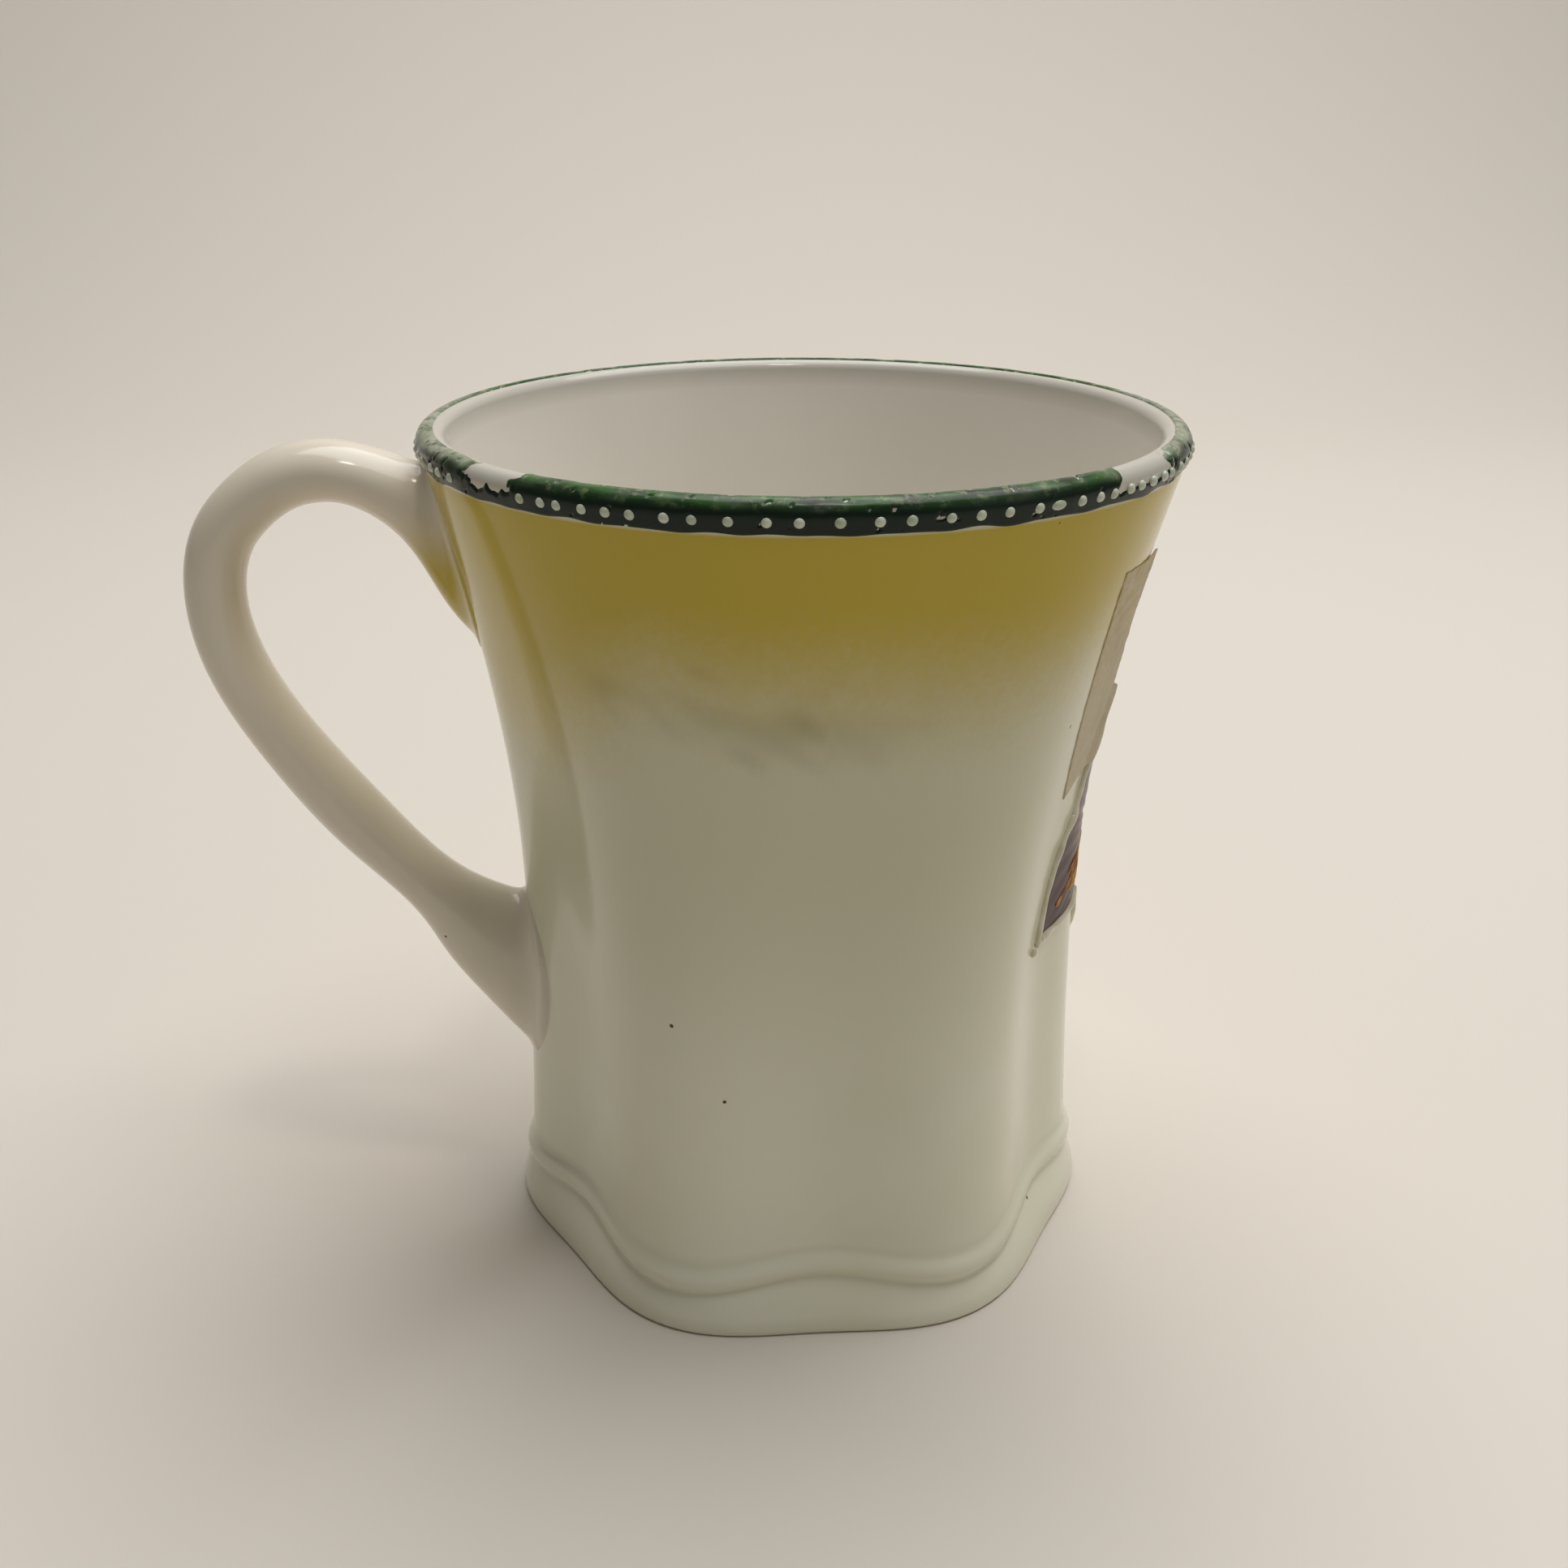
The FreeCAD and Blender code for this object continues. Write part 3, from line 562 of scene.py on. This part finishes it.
def greenEnamel():
    # chrome green overglaze enamel: glassy and very dark where it lies thick, a lighter leaf green
    # where the brush left it thin on the lip, and a painted grey-green sheen, mottled like wear, on the lip's
    # sides
    material, tree, shader = newMaterial("green_overglaze_enamel", 0.22, 1.5, gloss=0.22)
    place = addNode(tree, "TexCoord", "Object", {})
    thin = addNode(tree, "Attribute", "Fac", {}, attribute_name="thin")
    sheenAndWearShare = addNode(tree, "Attribute", "Fac", {}, attribute_name="sheenAndWear")
    stroke = addNode(tree, "Mapping", 0, {"Vector": place, "Scale": (1.0, 1.0, 7.0)})
    streak = addNode(tree, "TexNoise", "Fac", {"Vector": stroke, "Scale": 260.0, "Detail": 3.0})
    rubbed = addNode(tree, "TexNoise", "Fac",
                     {"Vector": place, "Scale": 800.0, "Detail": 3.0, "Roughness": 0.65})
    share = addNode(tree, "MapRange", 0, {0: streak, 1: 0.25, 2: 0.70}, interpolation_type="SMOOTHSTEP")
    share = addNode(tree, "Math", 0, {0: thin, 1: share}, operation="MULTIPLY")
    colour = addNode(tree, "Mix", 2, {0: share, 6: hexColour(band["deep"]), 7: hexColour(band["leaf"])},
                     data_type="RGBA")
    fleck = addNode(tree, "MapRange", 0, {0: rubbed, 1: 0.54, 2: 0.68, 4: 0.55},
                    interpolation_type="SMOOTHSTEP")
    fleck = addNode(tree, "Math", 0, {0: thin, 1: fleck}, operation="MULTIPLY")
    colour = addNode(tree, "Mix", 2, {0: fleck, 6: colour, 7: hexColour(band["rubbed"])}, data_type="RGBA")
    # painted sheen on the lip's top and sides, mottled like wear, greys the green here
    grey = addNode(tree, "MapRange", 0, {0: rubbed, 1: 0.30, 2: 0.62, 3: 0.35, 4: 1.0})
    grey = addNode(tree, "Math", 0, {0: sheenAndWearShare, 1: grey}, operation="MULTIPLY")
    colour = addNode(tree, "Mix", 2, {0: grey, 6: colour, 7: hexColour(band["sheenAndWearGrey"])}, data_type="RGBA")
    tree.links.new(colour, shader["Base Color"])
    normal = addNode(tree, "Bump", 0, {"Height": streak, "Strength": 0.12, "Distance": 0.0002})
    tree.links.new(normal, shader["Normal"])
    return material


def paintedEnamel(name, deep, pale, patch, relief, roughness=0.2):
    # overglaze enamel laid on with a brush or dabbed on as a bead: glossy and slightly uneven, its
    # colour passing from the first to the second in patches of the given size in millimetres
    material, tree, shader = newMaterial(name, roughness, 1.55)
    place = addNode(tree, "TexCoord", "Object", {})
    cloud = addNode(tree, "TexNoise", "Fac", {"Vector": place, "Scale": 1 / (patch * mm), "Detail": 3.0})
    share = addNode(tree, "MapRange", 0, {0: cloud, 1: 0.38, 2: 0.66}, interpolation_type="SMOOTHSTEP")
    colour = addNode(tree, "Mix", 2, {0: share, 6: hexColour(deep), 7: hexColour(pale)}, data_type="RGBA")
    grain = addNode(tree, "TexNoise", "Fac", {"Vector": place, "Scale": 2.5 / (patch * mm), "Detail": 2.0})
    tree.links.new(colour, shader["Base Color"])
    normal = addNode(tree, "Bump", 0, {"Height": grain, "Strength": relief, "Distance": 0.0002})
    tree.links.new(normal, shader["Normal"])
    return material


def makeBand():
    # the lip's skin raised by the enamel and sunk where it is chipped, closed by a skin inside the wall
    radius, height, lean, along = (column[:, None] for column in lipSkin())
    degrees = np.linspace(-180, 180, band["around"], endpoint=False)[None, :]
    angle = np.radians(degrees)
    bare = chipped(degrees, along)
    ends = smoothStep(0, band["edge"], along) * smoothStep(0, band["edge"], along[-1] - along)
    arc = angle * body["rim"]
    brushed = 1 + 0.12 * ripple(10, 2.0, 5)(arc, 2 * along)
    lift = (band["enamel"] + 0.05) * np.sqrt(ends) * (1 - bare) * np.minimum(brushed, 1.0) - 0.05
    lower = 0.10 * ripple(8, 3.0, 11)(arc, 0 * along) * smoothStep(1.2, 0.0, along)

    def skin(raised, drop):
        reach = radius + raised * np.cos(lean)
        return np.stack([reach * np.sin(angle), -reach * np.cos(angle),
                         height + drop + raised * np.sin(lean) + 0 * angle], -1)

    grid = np.concatenate([skin(lift, lower), skin(-band["buried"] + 0 * lift, 0 * lower)[::-1]])
    # thin: the lighter green of the lip's bend and top; the second mark: painted sheen on the lip, mottled
    # like wear
    marks = {"thin": smoothStep(1.9, 3.3, along) + 0 * degrees, "sheenAndWear": sheenAndWear(degrees, along)}
    marks = {name: np.concatenate([values, values[::-1]])[None] for name, values in marks.items()}
    piece = addSurface("green_band", grid, loopAcross=True, loopAlong=True, marks=marks)
    finishPiece(piece, greenEnamel(), "rim_band")


def makeBeads():
    # spherical caps: at the angle a from a cap's middle, sideways ball sin a and outwards
    # ball (cos a - 1) + rise; a skirt goes on under the band's surface, and a pole closes each end
    source = np.random.default_rng(4)
    count = beads["count"]
    even = np.radians(360.0 * np.arange(count) / count)
    angle = (even + math.radians(beads["drift"]) * np.sin(4 * even)
             + math.radians(beads["wander"]) * np.sin(2.4 * np.arange(count)))
    size = source.uniform(0.88, 0.97, count)
    start, end = beads["lost"]
    turned = (np.degrees(angle) + 180) % 360 - 180
    keep = (turned < start) | (turned > end)
    angle, size, turned = angle[keep], size[keep][:, None, None], turned[keep]
    stretch = 1 + 0.75 * (np.abs(turned - beads["smeared"]) < 2.0)[:, None, None]
    height = body["height"] - beads["drop"]
    seat = float(crestRadius(height)) + band["enamel"]
    ball = (beads["radius"] ** 2 + beads["rise"] ** 2) / (2 * beads["rise"])
    edge = math.asin(beads["radius"] / ball)
    a = np.array([0, 0.3, 0.55, 0.78, 0.93, 1.0, 1.0, 0.0])[:, None] * edge
    sink = np.array([0, 0, 0, 0, 0, 0, 1.0, 1.0])[:, None] * 0.25
    turn = np.linspace(0, 2 * np.pi, 12, endpoint=False)[None, :]
    side = ball * np.sin(a) * np.cos(turn) * size * stretch
    up = ball * np.sin(a) * np.sin(turn) * size
    out = (ball * (np.cos(a) - 1) + beads["rise"]) * size - sink + 0 * turn
    lean = math.cos(rimTilt)
    reach = seat + out * lean + up * math.sin(rimTilt)
    s, c = np.sin(angle)[:, None, None], np.cos(angle)[:, None, None]
    drop = out * math.sin(rimTilt)
    grid = np.stack([reach * s + side * c, -reach * c + side * s, height - drop + up * lean], -1)
    piece = addSurface("white_beads", grid[:, :, ::-1], loopAcross=True, startPole=True, endPole=True)
    enamel = paintedEnamel("white_relief_enamel", beads["deep"], beads["pale"], 3.0, 0.05, 0.18)
    finishPiece(piece, enamel, "rim_dots")


# flower: a heart, petals and leaves of coloured enamel inside a raised cream line, drawn flat
# about its centre and carried on to the wall

flower = {
    "angle": math.radians(93.0), "height": 46.5, "petals": [61.6, 158.0, 224.0, 290.0, 356.0],
    "reach": 18.0, "notch": 9.0, "notchRise": 2.6, "fullness": 0.10, "heart": 2.6, "bead": 0.8,
    "leafLength": 11.0, "leafWidth": 5.0, "leafStart": 10.5,
    "petalEnamel": 0.22, "lineEnamel": 0.5, "lineWidth": 0.8, "sunk": 0.1,
    "strokeStart": 3.4, "strokeWidth": 0.42,  # gold strokes, from the centre, and their width
    "maroon": "43100F", "mauve": "7C4652", "pool": "34100D",
    "leaf": ("3C5A2C", "6E8A4A"), "cream": ("E2DCC4", "CFC7A8"), "gold": ("9A5A1E", "D9A04C"),
}


def drawn(turn, reach):
    # a point of the drawing, at a turn in degrees from straight down towards the plain side
    t = np.radians(turn)
    return -np.sin(t) * reach, -np.cos(t) * reach + flower["height"]


def flowerCorners():
    # turn and reach of each petal's point and of the notch after it; the one wide gap is shallower
    turns = np.array(flower["petals"])
    gaps = np.diff(np.append(turns, turns[0] + 360))
    notch = flower["notch"] + flower["notchRise"] * (gaps > 360 / len(turns))
    return np.column_stack([turns, 0 * turns + flower["reach"], turns + gaps / 2, notch]).reshape(-1, 2)


def petalReach(turn):
    # the flower's edge: at the angle a past a corner of reach p, with the next corner of reach q a
    # gap g further on, the line p q sin g / (p sin a + q sin(g - a)), bowed out by sin(pi a / g);
    # and how far round the gap that is, 0 to 1
    corners = flowerCorners()
    corners = np.vstack([corners, [corners[0, 0] + 360, corners[0, 1]]])
    at = (np.asarray(turn, float) - corners[0, 0]) % 360 + corners[0, 0]
    k = np.clip(np.searchsorted(corners[:, 0], at, side="right") - 1, 0, len(corners) - 2)
    gap = np.radians(corners[k + 1, 0] - corners[k, 0])
    a = np.radians(at - corners[k, 0])
    p, q = corners[k, 1], corners[k + 1, 1]
    share = a / gap
    line = p * q * np.sin(gap) / (p * np.sin(a) + q * np.sin(gap - a))
    return line * (1 + flower["fullness"] * np.sin(np.pi * share)), np.where(k % 2 == 0, share, 1 - share)


def roundTurns(each):
    # turns all round the flower, the same number between every two corners
    turns = flowerCorners()[:, 0]
    gaps = np.diff(np.append(turns, turns[0] + 360))
    return (turns[:, None] + gaps[:, None] * np.arange(each) / each).reshape(-1)


def petalSheet():
    # lift = enamel * (1 - t^8)^0.5 from the centre (t = 0) to the edge (t = 1), cut by fine veins
    # that run out along each petal and by a furrow between two petals
    turn = roundTurns(48)[None, :]
    reach, side = petalReach(turn)
    t = np.linspace(0, 1, 40)[:, None]
    u, v = drawn(turn, t * reach)
    vein = 0.20 * (0.5 + 0.5 * np.cos(2 * np.pi * 4 * side))
    vein = vein * smoothStep(0.1, 0.4, t) * smoothStep(1.0, 0.8, t)
    furrow = 0.45 * smoothStep(0.82, 1.0, side)
    lift = flower["petalEnamel"] * np.sqrt(1 - t ** 8) * (1 - vein - furrow)
    top = onWall(u, v, flower["angle"], lift)
    under = onWall(u, v, flower["angle"], -flower["sunk"] + 0 * lift)[::-1]
    marks = {"out": np.concatenate([t + 0 * turn, (t + 0 * turn)[::-1]]),
             "side": np.concatenate([side + 0 * t, side + 0 * t])}
    return np.concatenate([top, under]), marks


def leafSheet(turn):
    # a pointed oval from its stalk end to its point; half width = w (sin(pi t^0.9))^0.8, and the
    # middle vein is a furrow
    t = np.linspace(0, 1, 40)[:, None]
    s = np.linspace(-1, 1, 25)[None, :]
    half = flower["leafWidth"] / 2 * np.sin(np.pi * t ** 0.9) ** 0.8
    u, v = drawn(turn, flower["leafStart"] + t * flower["leafLength"])
    across = np.radians(turn + 90)
    u, v = u - np.sin(across) * half * s, v - np.cos(across) * half * s
    lift = flower["petalEnamel"] * np.sqrt(1 - s ** 4) * (1 - 0.5 * np.exp(-(s / 0.12) ** 2)) + 0 * t
    top = onWall(u, v, flower["angle"], lift)
    under = onWall(u, v, flower["angle"], -flower["sunk"] + 0 * lift)
    return np.concatenate([top, under[:, ::-1][:, 1:-1]], 1)


def ridgeLine(u, v, width, rise, seed, closed):
    # a rounded line of enamel along (u, v): each section is half an oval, sunk a little, and it
    # swells and thins unevenly, as drawn by a hand; an open line thins out at both ends
    du, dv = np.roll(u, -1) - np.roll(u, 1), np.roll(v, -1) - np.roll(v, 1)
    if not closed:
        du, dv = np.gradient(u), np.gradient(v)
    length = np.hypot(du, dv)
    along = np.cumsum(np.hypot(np.diff(u, prepend=u[0]), np.diff(v, prepend=v[0])))
    swell = 1 + 0.16 * ripple(6, 1.6, seed)(along, 0 * along)
    if not closed:
        ends = smoothStep(-0.01, 0.5, along) * smoothStep(along[-1] + 0.01, along[-1] - 0.5, along)
        swell = swell * np.sqrt(ends)
    turn = np.linspace(-0.12, np.pi + 0.12, 11)[None, :]
    side = (width / 2 * swell)[:, None] * np.cos(turn)
    lift = (rise * swell)[:, None] * np.sin(turn)
    normalU, normalV = (-dv / length)[:, None], (du / length)[:, None]
    top = onWall(u[:, None] + normalU * side, v[:, None] + normalV * side, flower["angle"], lift)
    back = side[:, ::-1][:, 1:-1]
    under = onWall(u[:, None] + normalU * back, v[:, None] + normalV * back, flower["angle"],
                   -flower["sunk"] + 0 * back)
    return np.concatenate([top, under], 1)


def enamelDab(u, v, radius, rise):
    # a round bead: lift = rise * (1 - a^2)^0.5 from its middle (a = 0) to its edge, over a sunk foot
    a = np.sin(np.linspace(0, np.pi / 2, 8))[:, None]
    turn = np.linspace(0, 2 * np.pi, 16, endpoint=False)[None, :]
    side, up = a * np.cos(turn), a * np.sin(turn)
    top = onWall(u + radius * side, v + radius * up, flower["angle"], rise * np.sqrt(1 - a ** 2) + 0 * turn)
    foot = onWall(u + radius * side[::-1], v + radius * up[::-1], flower["angle"], -flower["sunk"] + 0 * side)
    return np.concatenate([top, foot])


def petalEnamel():
    # maroon overglaze enamel floated over rose: almost black-brown where it pools towards a petal's
    # point, mauve in the cleft between two petals
    material, tree, shader = newMaterial("maroon_over_rose_enamel", 0.25, 1.5, gloss=0.1)
    place = addNode(tree, "TexCoord", "Object", {})
    out = addNode(tree, "Attribute", "Fac", {}, attribute_name="out")
    side = addNode(tree, "Attribute", "Fac", {}, attribute_name="side")
    cloud = addNode(tree, "TexNoise", "Fac", {"Vector": place, "Scale": 420.0, "Detail": 3.0})
    edge = addNode(tree, "Math", 0, {0: cloud, 1: 0.55, 2: side}, operation="MULTIPLY_ADD")
    edge = addNode(tree, "MapRange", 0, {0: edge, 1: 0.85, 2: 1.35}, interpolation_type="SMOOTHSTEP")
    colour = addNode(tree, "Mix", 2, {0: edge, 6: hexColour(flower["maroon"]), 7: hexColour(flower["mauve"])},
                     data_type="RGBA")
    pool = addNode(tree, "MapRange", 0, {0: out, 1: 0.45, 2: 0.95, 4: 0.6}, interpolation_type="SMOOTHSTEP")
    colour = addNode(tree, "Mix", 2, {0: pool, 6: colour, 7: hexColour(flower["pool"])}, data_type="RGBA")
    normal = addNode(tree, "Bump", 0, {"Height": cloud, "Strength": 0.15, "Distance": 0.0002})
    tree.links.new(colour, shader["Base Color"])
    tree.links.new(normal, shader["Normal"])
    return material


def makeFlower():
    sheet, marks = petalSheet()
    piece = addSurface("maroon_petals", sheet, loopAcross=True, startPole=True, endPole=True, marks=marks)
    finishPiece(piece, petalEnamel(), "flower_petals")

    leafTurns = flowerCorners()[3:7:2, 0]  # the notches after the second and the third petal
    leaves = np.stack([leafSheet(turn) for turn in leafTurns])
    piece = addSurface("green_leaves", leaves, loopAcross=True, startPole=True, endPole=True)
    enamel = paintedEnamel("leaf_green_enamel", *flower["leaf"], 5.0, 0.15, 0.3)
    finishPiece(piece, enamel, "flower_leaves")

    turn = roundTurns(60)
    reach, side = petalReach(turn)
    u, v = drawn(turn, reach + flower["lineWidth"] * (0.5 + 0.5 * (1 - side) ** 8))
    line = ridgeLine(u, v, flower["lineWidth"], flower["lineEnamel"], 20, True)
    piece = addSurface("cream_line", line, loopAcross=True, loopAlong=True)
    cream = paintedEnamel("cream_relief_enamel", *flower["cream"], 3.3, 0.15)
    finishPiece(piece, cream, "flower_outline")

    tips = []
    far = flower["reach"] + flower["lineWidth"] + flower["bead"]
    for turn in flower["petals"]:
        tips += [enamelDab(*drawn(turn, far), 0.62, flower["lineEnamel"]),
                 enamelDab(*drawn(turn - 1.5, far - 2.1), 0.5, flower["lineEnamel"] + 0.04)]
    piece = addSurface("cream_tip_beads", np.stack(tips)[:, :, ::-1],
                       loopAcross=True, startPole=True, endPole=True)
    finishPiece(piece, cream)

    dabs = [enamelDab(*drawn(0.0, 0.0), flower["heart"] * 0.8, flower["lineEnamel"] - 0.05)]
    dabs += [enamelDab(*drawn(40.0 * index, 2.0), 0.5, flower["lineEnamel"]) for index in range(9)]
    piece = addSurface("gold_heart", np.stack(dabs)[:, :, ::-1],
                       loopAcross=True, startPole=True, endPole=True)
    gold = paintedEnamel("gold_enamel", *flower["gold"], 2.0, 0.15, 0.28)
    finishPiece(piece, gold, "flower_heart")

    strokes = []
    for index, turn in enumerate(flower["petals"]):
        for way, length in ((-9.0, 0.62), (0.0, 0.78), (9.0, 0.60)):
            reach = np.linspace(flower["strokeStart"], flower["reach"] * length, 40)
            u, v = drawn(turn + way * (1 - ((reach - flower["strokeStart"]) / 16) ** 2), reach)
            strokes.append(ridgeLine(u, v, flower["strokeWidth"], flower["petalEnamel"] + 0.13,
                                     40 + 3 * index, False))
    piece = addSurface("gold_strokes", np.stack(strokes), loopAcross=True, startPole=True, endPole=True)
    finishPiece(piece, gold)


# tape: a torn strip of crepe masking tape, stuck beside the flower and lifting at its torn edge

tape = {
    "angle": math.radians(67.6), "height": 69.0, "width": 13.5, "length": 26.5, "lean": 10.5,
    "slant": 1.0, "fall": 3.4, "thick": 0.15, "tear": 1.1, "crepe": 0.85, "peel": 0.5, "over": 0.55,
    "paper": "CDBFA0", "warm": "C4B080", "fibre": "D3C8B0", "blotch": "AD9F7E",
}


def maskingTape():
    # creped paper with a rubber adhesive: matt beige, warmed in its upper part by the yellow ground
    # under it, mottled by paler fibres and by a few darker blotches
    material, tree, shader = newMaterial("crepe_masking_tape", 0.7, 1.45)
    place = addNode(tree, "TexCoord", "Object", {})
    z = addNode(tree, "SeparateXYZ", "Z", {0: place})
    fibre = addNode(tree, "TexNoise", "Fac",
                    {"Vector": place, "Scale": 900.0, "Detail": 4.0, "Roughness": 0.7})
    blotch = addNode(tree, "TexNoise", "Fac", {"Vector": place, "Scale": 120.0, "Detail": 3.0})
    warm = addNode(tree, "MapRange", 0, {0: z, 1: 0.062, 2: 0.082}, interpolation_type="SMOOTHSTEP")
    colour = addNode(tree, "Mix", 2, {0: warm, 6: hexColour(tape["paper"]), 7: hexColour(tape["warm"])},
                     data_type="RGBA")
    share = addNode(tree, "MapRange", 0, {0: fibre, 1: 0.35, 2: 0.7}, interpolation_type="SMOOTHSTEP")
    colour = addNode(tree, "Mix", 2, {0: share, 6: colour, 7: hexColour(tape["fibre"])}, data_type="RGBA")
    share = addNode(tree, "MapRange", 0, {0: blotch, 1: 0.5, 2: 0.75, 4: 0.4},
                    interpolation_type="SMOOTHSTEP")
    colour = addNode(tree, "Mix", 2, {0: share, 6: colour, 7: hexColour(tape["blotch"])}, data_type="RGBA")
    tree.links.new(colour, shader["Base Color"])
    normal = addNode(tree, "Bump", 0, {"Height": fibre, "Strength": 0.5, "Distance": 0.0002})
    tree.links.new(normal, shader["Normal"])
    return material


def makeTape():
    # a strip of the drawing laid on the wall: lift = thick (0.72 + 0.16 ridges); its torn side
    # follows a ragged line and peels off by peel s^6, and its lower corner lies over a petal
    half, wide = tape["length"] / 2, tape["width"] / 2
    q = np.linspace(0, 1, 320)[:, None]
    s = np.sin(np.linspace(0, np.pi / 2, 120))[None, :]
    run = (q - 0.5) * tape["length"]
    ragged = ripple(16, 0.6, 31)(run, 0 * run) * 0.34 + ripple(8, 3.5, 32)(run, 0 * run) * 0.45
    torn = wide - tape["tear"] * (0.5 + 0.5 * np.clip(ragged, -1, 1))
    cutSide = -wide + 0.04 * ripple(8, 1.0, 33)(run, 0 * run)
    u = cutSide + (torn - cutSide) * s
    v = (-half + tape["slant"] * s) * (1 - q) + (half - tape["fall"] * s) * q
    v = v + 0.10 * ripple(8, 1.2, 36)(u, 0 * u) * (1 - 4 * q * (1 - q))
    a = math.radians(tape["lean"])
    x, h = u * math.cos(a) - v * math.sin(a), u * math.sin(a) + v * math.cos(a) + tape["height"]

    flat = onWall(x, h, tape["angle"])
    away = np.arctan2(flat[..., 0], -flat[..., 1]) - flower["angle"]
    across, up = np.hypot(flat[..., 0], flat[..., 1]) * np.sin(away), flat[..., 2] - flower["height"]
    inset = petalReach(np.degrees(np.arctan2(-across, -up)))[0] - np.hypot(across, up)
    over = tape["over"] * smoothStep(-1.8, -0.6, inset)
    ridges = ripple(12, tape["crepe"], 34)(v, 0.18 * u)
    peel = tape["peel"] * s ** 6 * np.clip(0.55 + 0.6 * ripple(5, 9.0, 35)(v, 0 * u), 0, 1.2) + over
    top = onWall(x, h, tape["angle"], tape["thick"] * (0.72 + 0.16 * ridges) + peel)
    under = onWall(x, h, tape["angle"], peel - 0.04 * (1 - s))
    grid = np.concatenate([top, under[:, ::-1]], 1)
    piece = addSurface("masking_tape", grid, loopAcross=True, capped=True)
    finishPiece(piece, maskingTape(), "tape_strip")


# stage, light and camera

stage = {"half": 1.6, "colour": "E3DCD2", "world": "E8E4DE", "worldStrength": 0.14}


def makeStage():
    # a flat floor that curves up into a wall behind, as a studio's paper roll does
    half = stage["half"]
    bend = np.linspace(0, np.pi / 2, 20)[1:]
    run = np.concatenate([np.linspace(-half, 0.45, 10), 0.45 + 0.25 * np.sin(bend), np.full(8, 0.70)])
    rise = np.concatenate([np.zeros(10), 0.25 * (1 - np.cos(bend)), np.linspace(0.25, 1.4, 9)[1:]])
    across = np.linspace(-half, half, 12)
    grid = np.stack(np.broadcast_arrays(across[None, :], run[:, None], rise[:, None]), -1) / mm
    floor = addSurface("paper_floor", grid)
    material, tree, shader = newMaterial("matt_paper", 0.85)
    shader["Base Color"].default_value = hexColour(stage["colour"])
    floor.data.materials.append(material)


def addLight(name, size, watts, place, aim, tint=(1, 1, 1)):
    lamp = bpy.data.lights.new(name, "AREA")
    lamp.shape = "RECTANGLE"
    lamp.size, lamp.size_y = size
    lamp.energy = watts
    lamp.color = tint
    holder = bpy.data.objects.new(name, lamp)
    holder.location = place
    holder.rotation_euler = (Vector(aim) - Vector(place)).to_track_quat("-Z", "Y").to_euler()
    bpy.context.collection.objects.link(holder)


def makeCamera():
    # a little above the rim and looking down at the mug
    data = bpy.data.cameras.new("camera")
    data.sensor_width = 36.0
    data.lens = 39.3
    data.clip_start = 0.01
    camera = bpy.data.objects.new("camera", data)
    place = Vector((-0.0142, -0.1779, 0.1246))
    forward = Vector((0.0633, 0.9221, -0.3819)).normalized()
    right = forward.cross(Vector((0, 0, 1))).normalized()
    up = right.cross(forward)
    turned = Matrix((right, up, -forward)).transposed()
    camera.matrix_world = Matrix.Translation(place) @ turned.to_4x4()
    bpy.context.collection.objects.link(camera)
    bpy.context.scene.camera = camera


def makeLight():
    addLight("overhead", (0.9, 0.7), 7.0, (0.15, 0.18, 0.85), (0, 0, 0.05))
    addLight("right_fill", (0.5, 0.7), 0.3, (0.75, -0.55, 0.45), (0, 0, 0.05))
    addLight("small_lamp", (0.10, 0.10), 0.9, (0.05, -0.25, 1.0), (0, 0, 0.05), (1.0, 0.95, 0.88))
    world = bpy.data.worlds.new("studio_grey")
    bpy.context.scene.world = world
    world.use_nodes = True
    background = world.node_tree.nodes["Background"]
    background.inputs["Color"].default_value = hexColour(stage["world"])
    background.inputs["Strength"].default_value = stage["worldStrength"]
    bpy.context.scene.view_settings.view_transform = "Standard"


makeBody()
makeHandle()
makeBand()
makeBeads()
makeFlower()
makeTape()
makeStage()
makeLight()
makeCamera()
print("stage, light and camera ready")
